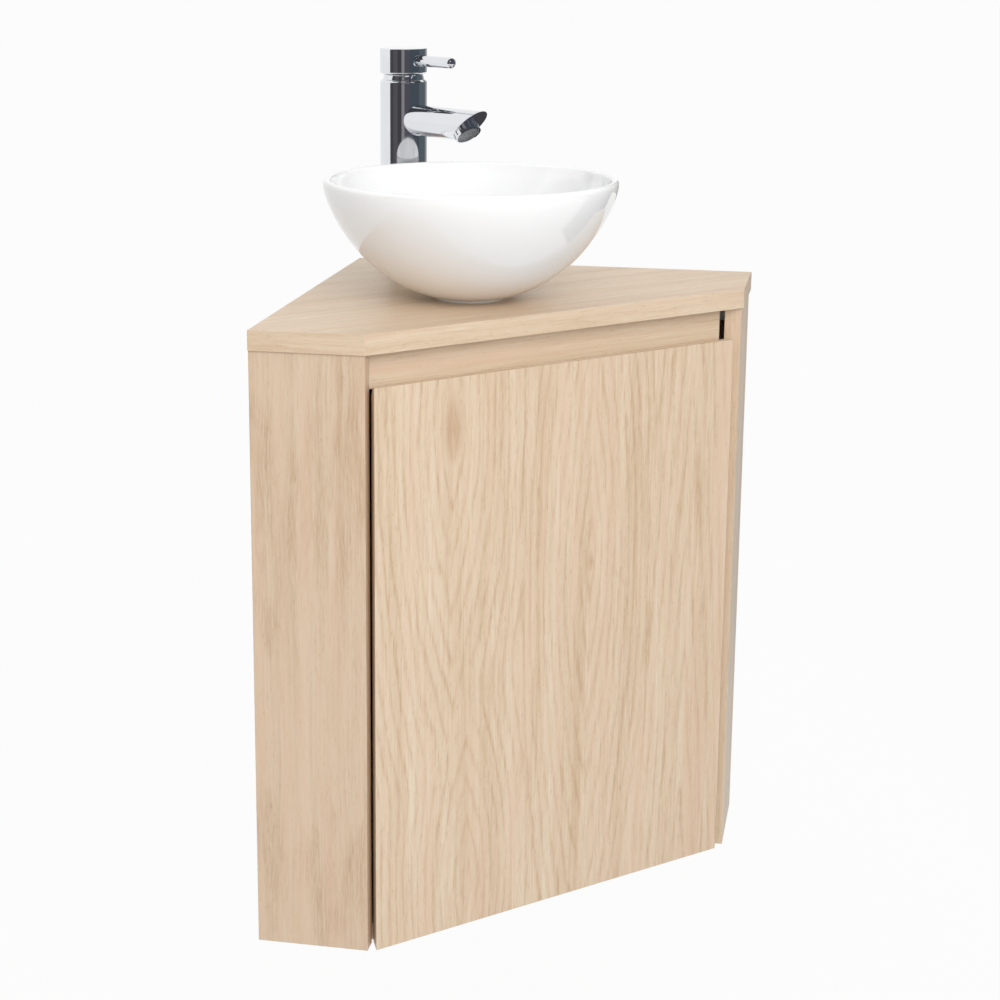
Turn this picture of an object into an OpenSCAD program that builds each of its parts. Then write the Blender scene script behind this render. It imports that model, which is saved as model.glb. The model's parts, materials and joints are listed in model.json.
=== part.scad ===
// Corner hand basin unit: a wall-hung cabinet for a room corner with a worktop,
// a round vessel basin, a single-lever mixer tap, a push-open waste and a bottle trap.
// Millimetres, +Z up. The origin is the inside corner of the room, level with the
// underside of the carcass, and the door faces -Y.

/* [Carcass] */
// Length of the carcass along each wall, measured from the room's corner
wall_len = 400; // [380:5:440]
// Depth of each side panel, square to its wall
side_d = 103; // [98:1:125]
// Height of the carcass below the worktop
carcass_h = 552; // [520:2:600]
// Thickness of the carcass boards
board_t = 16; // [15:0.5:18]
// Height of the two rear rails that are screwed to the walls
rear_rail_h = 70; // [60:5:90]
// Thickness of the two back panels
back_t = 3; // [2.5:0.5:5]
// Thickness of the worktop
top_t = 18; // [16:1:22]
// How far the worktop stands out past the side panels and the front
top_lip = 2; // [1:0.5:6]

/* [Door] */
// Thickness of the door
door_t = 16; // [15:0.5:18]
// How far the door stands forward of the side panels' front corners
door_proud = 3.5; // [2:0.5:4]
// Distance from the carcass's free corner to the door's free edge
door_margin = 7; // [6:0.5:9]
// Height of the grip gap between the door and the worktop
grip_gap = 28.5; // [24:0.5:34]
// Size of the finger bevel along the door's top rear edge
finger_bevel = 10; // [8:0.5:11]
// Angle of the bevel on the door's free edge
edge_bevel = 22.5; // [20:0.5:25]
// Gap between the rail's hinge end and the side panel
rail_slot = 3.2; // [2:0.2:6]

/* [Hinges] */
// Height of the lower hinge above the carcass's underside
hinge_low = 78; // [60:2:120]
// Distance from the door's top edge down to the upper hinge
hinge_drop = 78; // [60:2:120]
// Distance from the pivot to the door's hinge edge
pivot_in = 8.4; // [8:0.1:9]
// Distance from the pivot to the door's rear face
pivot_depth = 8.5; // [8:0.1:8.8]
// Radius of the hinge cup
cup_r = 17.5; // [17:0.25:18]
// Radius of the hinge pin
pin_r = 1.5; // [1.2:0.1:1.7]
// Width of the hinge arm
arm_w = 9; // [7:0.5:9.5]
// Thickness of the swan neck
neck_t = 2.2; // [1.8:0.1:2.4]

/* [Basin] */
// Outer radius of the basin's rim
basin_r = 135.5; // [130:0.5:140]
// Height of the basin
basin_h = 110.5; // [95:0.5:125]
// Radius of the basin's foot
foot_r = 35; // [35:1:42]
// Thickness of the rim
rim_t = 7; // [6:0.5:9]
// Distance of the basin's axis to the left of the middle
basin_left = 34; // [25:1:40]
// Distance of the basin's axis behind the carcass's front plane
basin_back = 101.5; // [96:0.5:106]

/* [Tap] */
// Radius of the tap body
tap_r = 23; // [21:0.25:23.5]
// Height of the tap body above the worktop
tap_h = 188.2; // [170:0.2:210]
// Height of the lever cap
cap_h = 24.6; // [23:0.2:30]
// Height of the groove between the body and the cap
groove_h = 5.5; // [5:0.25:7]
// Distance of the tap's axis from the room's corner
tap_corner = 85; // [75:1:90]
// Turn of the tap towards the right
tap_turn = 9; // [0:1:12]
// Distance from the tap body's top edge down to the spout's axis
spout_drop = 38.6; // [30:0.2:46]
// Radius of the spout
spout_r = 15; // [13.5:0.25:16]
// Reach of the spout, along its axis to the slanted end
spout_reach = 96; // [85:1:110]
// Slant of the spout's end from level
spout_slant = 40; // [35:1:50]
// Radius of the lever's rod
lever_r = 5.4; // [4:0.1:6]
// Reach of the lever from the tap's axis
lever_reach = 72.4; // [65:0.2:90]

/* [Waste and trap] */
// Radius of the waste's threaded tail
tail_r = 20.9; // [20:0.1:21.5]
// Travel of the push-open plug
plug_travel = 8; // [6:0.5:10]
// Radius of the trap's outlet tube
outlet_r = 16; // [15:0.5:20]
// Distance from the worktop's underside down to the axis of the trap's outlet
outlet_drop = 112; // [106:2:130]
// Radius of the trap's bottle
bottle_r = 28; // [25:1:34]

/* [Hidden] */
$fn = 72;
s2 = sqrt(2);
side_gap = 0.05;        // radial gap of a running fit
seat_gap = 0.1;         // gap between a piece and the hole it stands in
front_w = (wall_len - side_d) * s2;
front_y = -(wall_len + side_d) / s2;
top_z = carcass_h + top_t;
door_h = carcass_h - grip_gap;
door_back = door_t - door_proud;
inner_x = front_w / 2 - board_t / s2;   // a side panel's inner front corner
inner_y = board_t / s2;

// The door turns about one pin in each hinge cup. The pin stands where the door's
// corner, at the radius swing_r, just clears the side panel's inner corner.
swing_clear = 0.5;
swing_r = norm([pivot_in, door_t - pivot_depth]);
pivot_y = door_back - pivot_depth;
pivot_x = inner_x - sqrt(pow(swing_r + swing_clear, 2) - pow(inner_y - pivot_y, 2));
door_right = pivot_x + pivot_in;
door_left = -(front_w / 2 - door_margin);
hinge_zs = [hinge_low, door_h - hinge_drop];
swing_max = max(swing_r, norm([pivot_in, pivot_depth]));
neck_clear = 1.2;
neck_r = swing_max + neck_clear + neck_t / 2;
neck_a = 180;           // direction in which the neck leaves the pin
arm_from = 45;          // direction of the side panel, where the neck ends
pivot_s = ((pivot_x - inner_x) + (pivot_y - inner_y)) / s2;
pivot_h = ((pivot_y - inner_y) - (pivot_x - inner_x)) / s2;
eye_r = pin_r + 1.2;
arm_len = 44;
arm_h = 10;
plate_t = 3;
arm_low = asin((plate_t - pivot_h) / neck_r);   // angle at which the neck meets the arm's foot
arm_s = pivot_s + neck_r;                // where the arm starts along the side panel
plate_s = 9;
plate_len = 36;
plate_w = 17;
wing_w = 44;
wing_len = 22;
cup_depth = 12.6;
cup_wall = 1;
cup_edge = 3.2;         // wood left between the cup and the door's end
cup_x = pivot_in - cup_edge - cup_r;
ear_t = 3.5;
ear_gap = 0.5;
flange_t = 1.2;
flange_w = 15;
flange_reach = 25;
cup_screw_z = 21;

// Recessed rail above the door
rail_gap = 2;
rail_y = door_back + rail_gap;
rail_t = board_t;
rail_drop = 5;          // how far the rail reaches down behind the door's bevelled top
rail_z = door_h - rail_drop;
rail_right = inner_x - rail_slot;

// Bottom panel, its catch and the door's bumpers
bottom_y = pivot_y + swing_max + swing_clear;
bumper_r = 4;
bumper_gap = 0.2;
bumper_xs = [-0.43 * front_w, 0.36 * front_w];
catch_x = -0.3 * front_w;
catch_w = 46;
catch_d = 13;
catch_h = 14;
pole_out = 0.6;
pole_t = 2.3;
pole_w = 26;
pole_d = 7;
pole_z = 4;
strike_t = 1;
strike_gap = 0.3;
strike_l = 36;
catch_y = door_back + strike_t + strike_gap + pole_out;
small_screw = [10, 1.5, 2.9, 1.4];  // length in the board, radius, head radius, head height

// Board fittings: bolts with cam locks, and dowels
cam_r = 7.5;
cam_t = 12;
bolt_r = 3.5;
bolt_in = 10;
cam_back = 24;          // from the joint to the middle of the cam lock
dowel_r = 4;
dowel_half = 12;
bottom_bolts = [28, 76];
bottom_dowel = 52;
rail_mid = carcass_h - rear_rail_h / 2;
rail_dowel = rear_rail_h / 2 - 13;

// Plastic blocks that hold the worktop to the boards below it
block = [34, 18, 18];
block_hole_x = 8;
screw_r = 1.9;
screw_head_r = 3.7;
screw_head_h = 2.2;
screw_bite = 11;
wall_bore_r = 4;
wall_bores = [110, 310];
rail_screw_l = 44;

// Basin
seal_t = 0.5;
basin_x = -basin_left;
basin_y = front_y + basin_back;
basin_z = top_z + seal_t;
foot_h = 1.5;
foot_w = 8;
floor_z = 14;
floor_r = 31;
waste_r = 22.5;
curve_n = 14;
outer_curve = [[foot_r, foot_h], [0.75 * basin_r, foot_h + 14.6],
    [1.005 * basin_r, 0.79 * basin_h], [basin_r, basin_h - rim_t / 2]];
inner_curve = [[floor_r, floor_z], [0.66 * basin_r, floor_z + 7],
    [0.93 * basin_r, 0.77 * basin_h], [basin_r - rim_t, basin_h - rim_t / 2]];

// Waste, all heights from the worktop's top face
waste_hole_r = tail_r + 2.6;
flange_r = 31;
flange_h = 2.4;
flange_z = seal_t + floor_z + 0.6;
tail_bore = tail_r - 3;
tail_end = -top_t - 54;
washer_r = 31;
washer_t = 3;
nut_t = 9;
plug_r = 29;
plug_t = 3.4;
stem_r = 4;
stem_l = 34;
guide_r = 7;
guide_t = 8;
guide_z = flange_z - 26;
web_t = 3;
plug_seat = 0.3;

// Trap, all heights from the carcass's underside
wall_dist = (wall_len + side_d) / 2 - (basin_back - basin_left) / s2;
trap_nut_r = 25;
trap_nut_h = 20;
inlet_r = 16;
tube_t = 1.8;
tail_tip = top_z + tail_end;
collar_t = 2.6;
collar_z = tail_tip - collar_t - seat_gap;
nut_lip = 3;
outlet_z = carcass_h - outlet_drop;
bottle_top = outlet_z + 22;
bottle_h = 62;
cup_nut_r = bottle_r + 3;
cup_h = 34;
socket_r = outlet_r + 5;
socket_out = bottle_r + 12;
outlet_nut_r = outlet_r + 8;
outlet_nut_l = 20;
rose_r = outlet_r + 16;
rose_t = 7;
back_gap = 3;           // between the outlet tube and the hole in the back panel

// Tap, all heights from the worktop's top face
tap_y = -tap_corner;
tap_seat = 1.5;
body_edge = 2.2;
cap_edge = 1.5;
spout_z = tap_h - spout_drop;
cap_z = tap_h + groove_h;
cap_top = cap_z + cap_h;
cartridge_r = 17.5;
cartridge_z = tap_h - 34;
cartridge_h = 24;
collar_r = 14;
collar_top = tap_h - 1;
ring_r = 18.5;
ring_z = cartridge_z + cartridge_h + seat_gap;
ring_top = tap_h - 0.5;
turret_r = 11.5;
turret_z = tap_h - 16;
turret_top = tap_h + 2;
tilt_z = tap_h - 2;
dome_r = 20.2;          // the dome round the cartridge, centred where the cap tilts
dome_h = 5;
dome_clear = 1.3;       // between the dome and the cap
cap_in = 12.6;          // how far above the tilt's centre the cap's cavity is at its narrowest
tilt_pin_r = 1.5;
tilt_pin_half = 10.5;
stem_w = 8;
stem_gap = 0.2;
stem_room = 7.2;        // half the turret's slot, in which the stem tilts
stem_low = tap_h - 9.5;
stem_top = cap_z + 16.3;
cap_cavity_r = 17.5;
cap_mouth_r = sqrt(pow(dome_r + dome_clear, 2) - pow(cap_z - tilt_z, 2));
cap_roof = cap_z + 9.6;
lever_z = cap_z + 13.3;
lever_neck_r = 3.4;
lever_neck = 3;
aerator_r = 13;
aerator_out = 5.7;
aerator_off = 7.4;
aerator_core_r = 10.8;
aerator_core = 8;
aerator_slots = 16;
mesh_r = 11.4;
port_r = 4.5;
port_depth = 14;
port_x = 8;
port_y = 4;
stud_r = 4;
stud_y = -10;
stud_l = 70;
tap_hole_r = 17.5;
clamp_r = 25;
clamp_t = 3;
clamp_notch = 9.5;
clamp_plate = 2;
clamp_nut_r = 7.5;
clamp_nut_h = 16;

// Places

// Mirrors its children to the left side for side -1
module sided(side) {
    if (side > 0) children();
    else mirror([1, 0, 0]) children();
}

// X along the front, Y from the carcass's front plane towards the corner
module at_front() translate([0, front_y, 0]) children();

// X from a side panel's front end to its wall, Y from its outer face inwards
module at_side(side) sided(side) translate([front_w / 2, front_y, 0]) rotate([0, 0, 45]) children();

// X along a wall from the room's corner, Y out of the wall
module at_wall(side) sided(-side) rotate([0, 0, -135]) children();

// The hinge pins' axis, with X and Y as the front's
module at_pivots() for (z = hinge_zs) at_front() translate([pivot_x, pivot_y, z]) children();

// X along the right side panel from its front corner, Y off its inner face
module at_plates() for (z = hinge_zs) at_side(1) translate([0, board_t, z]) children();

// The six places of the worktop's blocks: X along the board, Y off its face, Z down from 0
module at_blocks() {
    for (side = [-1, 1]) {
        at_side(side) translate([side_d * 0.45, board_t, carcass_h]) children();
        at_wall(side) translate([wall_len * 0.52, board_t, carcass_h]) children();
        sided(side) at_front() translate([front_w * 0.3, rail_y + rail_t, carcass_h]) children();
    }
}

module at_basin() translate([basin_x, basin_y, 0]) children();

module at_tap() translate([0, tap_y, top_z]) rotate([0, 0, tap_turn]) children();

// The spout's slanted end: Y towards its lower edge, -Z out of the end
module at_spout_end() translate([0, -spout_reach, spout_z]) rotate([-spout_slant, 0, 0]) children();

// X square to the left wall, from the basin's axis to the wall
module at_outlet() translate([basin_x, basin_y, outlet_z]) rotate([0, 0, 135]) children();

// Shared shapes

module ring(r_out, r_in, h) difference() {
    cylinder(r = r_out, h = h);
    translate([0, 0, -1]) cylinder(r = r_in, h = h + 2);
}

// A countersunk screw with its head's face at z 0 and its point downwards
module screw(l, r = screw_r, head_r = screw_head_r, head_h = screw_head_h, grow = 0) {
    translate([0, 0, -l]) cylinder(r = r + grow, h = l - head_h / 2);
    translate([0, 0, -head_h - grow]) cylinder(r1 = r + grow, r2 = head_r + grow, h = head_h);
    translate([0, 0, -grow]) cylinder(r = head_r + grow, h = grow + 0.001);
}

function bezier(p, t) = pow(1 - t, 3) * p[0] + 3 * pow(1 - t, 2) * t * p[1]
    + 3 * (1 - t) * t * t * p[2] + pow(t, 3) * p[3];

function curve(p, n) = [for (i = [0:n]) bezier(p, i / n)];

function turned(p) = [for (i = [len(p) - 1:-1:0]) p[i]];

// Board fittings

module bolt_lines(grow) {
    for (side = [-1, 1]) at_side(side) {
        for (s = bottom_bolts) translate([s, board_t - bolt_in, board_t / 2]) rotate([-90, 0, 0])
            cylinder(r = bolt_r + grow, h = bolt_in + cam_back - cam_r - seat_gap + grow);
        translate([side_d - board_t / 2, board_t - bolt_in, rail_mid]) rotate([-90, 0, 0])
            cylinder(r = bolt_r + grow, h = bolt_in + cam_back - cam_r - seat_gap + grow);
    }
}

module cam_discs(grow) {
    for (side = [-1, 1]) at_side(side) {
        for (s = bottom_bolts) translate([s, board_t + cam_back, -grow])
            cylinder(r = cam_r + grow, h = cam_t + grow);
        translate([side_d - board_t - grow, board_t + cam_back, rail_mid]) rotate([0, 90, 0])
            cylinder(r = cam_r + grow, h = cam_t + grow);
    }
}

module dowel_pegs(grow) {
    for (side = [-1, 1]) at_side(side) {
        translate([bottom_dowel, board_t - dowel_half - grow, board_t / 2]) rotate([-90, 0, 0])
            cylinder(r = dowel_r + grow, h = 2 * (dowel_half + grow));
        for (dz = [-rail_dowel, rail_dowel])
            translate([side_d - board_t / 2, board_t - dowel_half - grow, rail_mid + dz])
                rotate([-90, 0, 0]) cylinder(r = dowel_r + grow, h = 2 * (dowel_half + grow));
    }
}

module fittings(grow) {
    bolt_lines(grow);
    cam_discs(grow);
    dowel_pegs(grow);
}

// Two screws in each block: one up into the worktop, one into the board beside it
module block_screw_set(grow) {
    translate([-block_hole_x, block[1] / 2, -block[2]]) mirror([0, 0, 1])
        screw(block[2] + screw_bite, grow = grow);
    translate([block_hole_x, block[1], -block[2] / 2]) rotate([-90, 0, 0])
        screw(block[1] + screw_bite, grow = grow);
}

module rail_screw_set(grow) {
    for (dz = [-rail_dowel, rail_dowel])
        at_wall(-1) translate([board_t / 2, 0, rail_mid + dz]) rotate([90, 0, 0])
            screw(rail_screw_l, 2.5, 4.5, 3, grow);
}

module plate_screw_set(grow) {
    at_plates() for (z = [-1, 1])
        translate([plate_s + plate_len / 2, plate_t, z * (wing_w / 2 - 6)]) rotate([-90, 0, 0])
            screw(plate_t + screw_bite, grow = grow);
}

module cup_screw_set(grow) {
    at_pivots() for (z = [-1, 1])
        translate([cup_x, pivot_depth + flange_t, z * cup_screw_z]) rotate([-90, 0, 0])
            screw(flange_t + 10, 1.7, 3.3, 1.2, grow);
}

// Carcass

module worktop() color("burlywood") difference() {
    lip = top_lip;
    corner_x = front_w / 2 + lip * tan(22.5);
    end_x = (wall_len + lip) / s2;
    translate([0, 0, carcass_h]) linear_extrude(top_t)
        polygon([[0, 0], [-end_x, -end_x], [-corner_x, front_y - lip],
            [corner_x, front_y - lip], [end_x, -end_x]]);
    at_basin() translate([0, 0, carcass_h - 1]) cylinder(r = waste_hole_r, h = top_t + 2);
    translate([0, tap_y, carcass_h - 1]) cylinder(r = tap_hole_r, h = top_t + 2);
    at_blocks() block_screw_set(seat_gap);
}

module side_panel(side) color("burlywood") difference() {
    at_side(side) cube([side_d, board_t, carcass_h]);
    fittings(seat_gap);
    at_blocks() block_screw_set(seat_gap);
    if (side > 0) plate_screw_set(seat_gap);
}

module side_panel_left() side_panel(-1);

module side_panel_right() side_panel(1);

// Set back so that the hinge end of the door clears it as it turns
module bottom_panel() color("burlywood") difference() {
    front_x = inner_x + bottom_y - inner_y;
    wall_x = (wall_len - board_t) / s2;
    linear_extrude(board_t)
        polygon([[0, 0], [-wall_x, -wall_x], [-front_x, front_y + bottom_y],
            [front_x, front_y + bottom_y], [wall_x, -wall_x]]);
    fittings(seat_gap);
    catch_screw_set(seat_gap);
}

module front_rail() color("burlywood") difference() {
    left_near = inner_x + rail_y - inner_y;
    at_front() translate([0, 0, rail_z]) linear_extrude(carcass_h - rail_z)
        polygon([[-left_near, rail_y], [rail_right, rail_y],
            [rail_right, rail_y + rail_t], [-left_near - rail_t, rail_y + rail_t]]);
    at_blocks() block_screw_set(seat_gap);
}

// The left rail runs into the corner and the right one butts against it
module rear_rail(side) color("burlywood") difference() {
    from = side < 0 ? 0 : board_t;
    at_wall(side) translate([from, 0, carcass_h - rear_rail_h])
        cube([wall_len - board_t - from, board_t, rear_rail_h]);
    at_wall(side) for (x = wall_bores) translate([x, -1, rail_mid]) rotate([-90, 0, 0])
        cylinder(r = wall_bore_r, h = board_t + 2);
    fittings(seat_gap);
    at_blocks() block_screw_set(seat_gap);
    rail_screw_set(seat_gap);
}

module rear_rail_left() rear_rail(-1);

module rear_rail_right() rear_rail(1);

// Thin panels along the walls, below the rails; the left one lets the trap's outlet through
module back_panel(side) color("tan") difference() {
    from = side < 0 ? 0 : back_t;
    at_wall(side) translate([from, 0, board_t])
        cube([wall_len - board_t - from, back_t, carcass_h - rear_rail_h - board_t]);
    at_outlet() rotate([0, 90, 0]) cylinder(r = outlet_r + back_gap, h = wall_dist + 1);
}

module back_panel_left() back_panel(-1);

module back_panel_right() back_panel(1);

module cam_locks() color("silver") cam_discs(0);

module cam_bolts() color("silver") bolt_lines(0);

module dowels() color("tan") dowel_pegs(0);

module rail_screws() color("silver") rail_screw_set(0);

module corner_blocks() color("white") at_blocks() difference() {
    translate([-block[0] / 2, 0, -block[2]]) cube(block);
    block_screw_set(seat_gap);
}

module block_screws() color("silver") at_blocks() block_screw_set(0);

// Door furniture on the carcass

module door_bumpers() color("whitesmoke") at_front() for (x = bumper_xs)
    translate([x, door_back + bumper_gap, board_t / 2]) rotate([-90, 0, 0])
        cylinder(r = bumper_r, h = bottom_y - door_back - bumper_gap);

module catch_housing() color("white") difference() {
    at_front() translate([catch_x - catch_w / 2, catch_y, board_t]) cube([catch_w, catch_d, catch_h]);
    pole_bars(seat_gap);
    catch_screw_set(seat_gap);
}

module pole_bars(grow) at_front() for (z = [pole_z, catch_h - pole_z])
    translate([catch_x - pole_w / 2 - grow, catch_y - pole_out, board_t + z - pole_t / 2 - grow])
        cube([pole_w + 2 * grow, pole_d + grow, pole_t + 2 * grow]);

module catch_poles() color("silver") pole_bars(0);

module catch_screw_set(grow) at_front() for (x = [-1, 1])
    translate([catch_x + x * (catch_w / 2 - 4.5), catch_y + catch_d / 2, board_t + catch_h])
        screw(catch_h + small_screw[0], small_screw[1], small_screw[2], small_screw[3], grow);

module catch_screws() color("silver") catch_screw_set(0);

// Hinges: a cup in the door, a pin, and a swan-necked arm that goes round the door's end

module hinge_plates() color("silver") difference() {
    at_plates() {
        translate([plate_s, 0, -plate_w / 2]) cube([plate_len, plate_t, plate_w]);
        translate([plate_s + (plate_len - wing_len) / 2, 0, -wing_w / 2])
            cube([wing_len, plate_t, wing_w]);
    }
    plate_screw_set(seat_gap);
    arm_screw_set(seat_gap);
}

module arm_screw_set(grow) at_plates()
    translate([arm_s + 0.72 * arm_len, plate_t + arm_h, 0]) rotate([-90, 0, 0])
        screw(plate_t + arm_h - 0.5, 2.5, 4.4, 2.4, grow);

module arm_plan() {
    neck_sweep = neck_a - arm_from - arm_low;
    circle(r = eye_r);
    rotate(neck_a) translate([0, -neck_t / 2]) square([neck_r + neck_t / 2, neck_t]);
    intersection() {
        difference() {
            circle(r = neck_r + neck_t / 2);
            circle(r = neck_r - neck_t / 2);
        }
        polygon([[0, 0], for (k = [0:3]) let (a = arm_from + arm_low + k * neck_sweep / 3)
            3 * neck_r * [cos(a), sin(a)]]);
    }
    rotate(arm_from) translate([arm_s - pivot_s, plate_t - pivot_h]) square([arm_len, arm_h]);
}

module hinge_arms() color("silver") difference() {
    at_pivots() difference() {
        translate([0, 0, -arm_w / 2]) linear_extrude(arm_w) arm_plan();
        translate([0, 0, -arm_w]) cylinder(r = pin_r + side_gap, h = 2 * arm_w);
    }
    arm_screw_set(seat_gap);
}

module plate_screws() color("silver") plate_screw_set(0);

module arm_screws() color("silver") arm_screw_set(0);

// Door

module door() color("burlywood") difference() {
    bevel = door_t * tan(edge_bevel);
    at_front() linear_extrude(door_h)
        polygon([[door_left, -door_proud], [door_right, -door_proud],
            [door_right, door_back], [door_left + bevel, door_back]]);
    at_front() translate([0, door_back, door_h]) rotate([45, 0, 0])
        cube([2 * front_w, finger_bevel * s2, finger_bevel * s2], center = true);
    at_pivots() translate([cup_x, pivot_depth + 1, 0]) rotate([90, 0, 0])
        cylinder(r = cup_r, h = cup_depth + 1);
    cup_screw_set(seat_gap);
    strike_screw_set(seat_gap);
}

module hinge_cups() color("silver") difference() {
    at_pivots() difference() {
        floor_y = pivot_depth - cup_depth + seat_gap;
        union() {
            translate([cup_x, pivot_depth + 0.001, 0]) rotate([90, 0, 0])
                cylinder(r = cup_r - seat_gap, h = cup_depth - seat_gap);
            translate([cup_x, pivot_depth + flange_t, 0]) rotate([90, 0, 0])
                cylinder(r = cup_r, h = flange_t);
            translate([cup_x - flange_w / 2, pivot_depth, -flange_reach])
                cube([flange_w, flange_t, 2 * flange_reach]);
        }
        difference() {
            translate([cup_x, pivot_depth + flange_t + 1, 0]) rotate([90, 0, 0])
                cylinder(r = cup_r - cup_wall, h = cup_depth + flange_t + 1 - seat_gap - 0.8);
            for (z = [-1, 1]) translate([-eye_r, floor_y, z * (arm_w / 2 + ear_gap + ear_t / 2) - ear_t / 2])
                cube([cup_r, eye_r - floor_y, ear_t]);
        }
        translate([0, 0, -arm_w]) cylinder(r = pin_r, h = 2 * arm_w);
    }
    cup_screw_set(seat_gap);
}

module hinge_pins() color("silver") at_pivots()
    translate([0, 0, -(arm_w / 2 + ear_gap + ear_t)])
        cylinder(r = pin_r, h = arm_w + 2 * (ear_gap + ear_t));

module cup_screws() color("silver") cup_screw_set(0);

module strike_plate() color("silver") difference() {
    at_front() translate([catch_x - strike_l / 2, door_back, board_t + 1])
        cube([strike_l, strike_t, catch_h - 2]);
    strike_screw_set(seat_gap);
}

module strike_screw_set(grow) at_front() for (x = [-1, 1])
    translate([catch_x + x * (strike_l / 2 - 4), door_back + strike_t, board_t + catch_h / 2])
        rotate([-90, 0, 0])
            screw(strike_t + small_screw[0], small_screw[1], small_screw[2], small_screw[3], grow);

module strike_screws() color("silver") strike_screw_set(0);

// Basin and waste

module basin() color("white") at_basin() translate([0, 0, basin_z]) rotate_extrude($fn = 144)
    polygon(concat(
        [[waste_r, 0.5], [foot_r - foot_w, 0.5], [foot_r - foot_w + 0.5, 0], [foot_r - 1, 0]],
        curve(outer_curve, curve_n),
        [for (a = [30:30:150]) [basin_r - rim_t / 2, basin_h - rim_t / 2] + rim_t / 2 * [cos(a), sin(a)]],
        turned(curve(inner_curve, curve_n)),
        [[waste_r, floor_z]]));

module basin_seal() color("gainsboro") at_basin() translate([0, 0, top_z])
    ring(foot_r - 2, foot_r - foot_w + 1, seal_t);

module waste_flange() color("silver") at_basin() translate([0, 0, top_z + flange_z])
    rotate_extrude() polygon([[tail_r + seat_gap, 0], [flange_r, 0], [flange_r, 0.8],
        [flange_r - 3, flange_h], [tail_bore + 3, flange_h], [tail_bore + 1.5, 1.2],
        [tail_r + seat_gap, 1.2]]);

module waste_body() color("silver") at_basin() translate([0, 0, top_z]) {
    translate([0, 0, tail_end]) ring(tail_r, tail_bore, flange_z + 1 - tail_end);
    translate([0, 0, guide_z]) ring(guide_r, stem_r + side_gap, guide_t);
    for (a = [0, 120, 240]) rotate(a) translate([guide_r - 1, -web_t / 2, guide_z])
        cube([tail_bore + 1 - guide_r + 1, web_t, guide_t - 2]);
}

module waste_seal() color("dimgray") at_basin() translate([0, 0, basin_z + floor_z])
    ring(flange_r - 2, waste_r + 1, flange_z - seal_t - floor_z);

module waste_washer() color("dimgray") at_basin() translate([0, 0, carcass_h - washer_t])
    ring(washer_r, tail_r + seat_gap, washer_t);

module waste_nut() color("silver") at_basin() translate([0, 0, carcass_h - washer_t - nut_t])
    difference() {
        cylinder(r = washer_r + 2, h = nut_t, $fn = 6);
        translate([0, 0, -1]) cylinder(r = tail_r + seat_gap, h = nut_t + 2);
    }

// Stored open, the travel above its seat
module waste_plug() color("silver") at_basin()
    translate([0, 0, top_z + flange_z + flange_h + plug_seat + plug_travel]) {
        rotate_extrude() polygon([[0, 0], [plug_r - 1, 0], [plug_r, 1],
            [plug_r * 0.9, plug_t * 0.62], [plug_r * 0.6, plug_t * 0.9], [0, plug_t]]);
        translate([0, 0, -stem_l]) cylinder(r = stem_r, h = stem_l + 0.5);
    }

// Bottle trap

module trap_nut() color("silver") at_basin() translate([0, 0, collar_z - nut_lip]) difference() {
    cylinder(r = trap_nut_r, h = trap_nut_h, $fn = 8);
    translate([0, 0, nut_lip]) cylinder(r = tail_r + seat_gap, h = trap_nut_h);
    translate([0, 0, -1]) cylinder(r = inlet_r + seat_gap, h = nut_lip + 2);
}

module trap_inlet() color("silver") at_basin() {
    low = outlet_z - 22;
    translate([0, 0, low]) ring(inlet_r, inlet_r - tube_t, collar_z + collar_t - low);
    translate([0, 0, collar_z + seat_gap]) ring(tail_r - 1, inlet_r - tube_t, collar_t - seat_gap);
}

module trap_bottle() color("silver") difference() {
    union() {
        at_basin() translate([0, 0, bottle_top - bottle_h]) cylinder(r = bottle_r, h = bottle_h);
        at_outlet() rotate([0, 90, 0]) cylinder(r = socket_r, h = socket_out);
    }
    at_basin() {
        translate([0, 0, bottle_top - bottle_h - 1]) cylinder(r = bottle_r - 3, h = bottle_h - 3);
        translate([0, 0, bottle_top - 9]) cylinder(r = inlet_r + seat_gap, h = 10);
    }
    at_outlet() rotate([0, 90, 0]) {
        cylinder(r = outlet_r - tube_t, h = socket_out + 1);
        translate([0, 0, bottle_r + 2]) cylinder(r = outlet_r + seat_gap, h = socket_out);
    }
}

module trap_cup() color("silver") at_basin() translate([0, 0, bottle_top - bottle_h - cup_h + 12])
    difference() {
        rotate_extrude() polygon([[0, 0], [bottle_r - 6, 0], [cup_nut_r, 9], [cup_nut_r, cup_h],
            [bottle_r + seat_gap, cup_h], [bottle_r + seat_gap, cup_h - 12 - seat_gap],
            [bottle_r - 3, cup_h - 12 - seat_gap], [bottle_r - 3, 10], [bottle_r - 9, 4], [0, 4]]);
        for (a = [0:30:330]) rotate(a) translate([cup_nut_r + 0.6, 0, 14]) cylinder(r = 1.6, h = cup_h);
    }

module outlet_nut() color("silver") at_outlet() translate([socket_out - 8, 0, 0]) rotate([0, 90, 0])
    difference() {
        cylinder(r = outlet_nut_r, h = outlet_nut_l, $fn = 8);
        translate([0, 0, -1]) cylinder(r = socket_r + seat_gap, h = 9 + seat_gap);
        translate([0, 0, -1]) cylinder(r = outlet_r + seat_gap, h = outlet_nut_l + 2);
    }

module trap_outlet() color("silver") at_outlet() translate([bottle_r + 4, 0, 0]) rotate([0, 90, 0])
    ring(outlet_r, outlet_r - tube_t, wall_dist - bottle_r - 4);

module wall_rose() color("silver") at_outlet() translate([wall_dist - back_t - rose_t, 0, 0])
    rotate([0, 90, 0]) rotate_extrude() polygon([[outlet_r + seat_gap, 0], [outlet_r + 4, 0],
        [rose_r, rose_t - 1.5], [rose_r, rose_t], [outlet_r + seat_gap, rose_t]]);

// Tap

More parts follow.
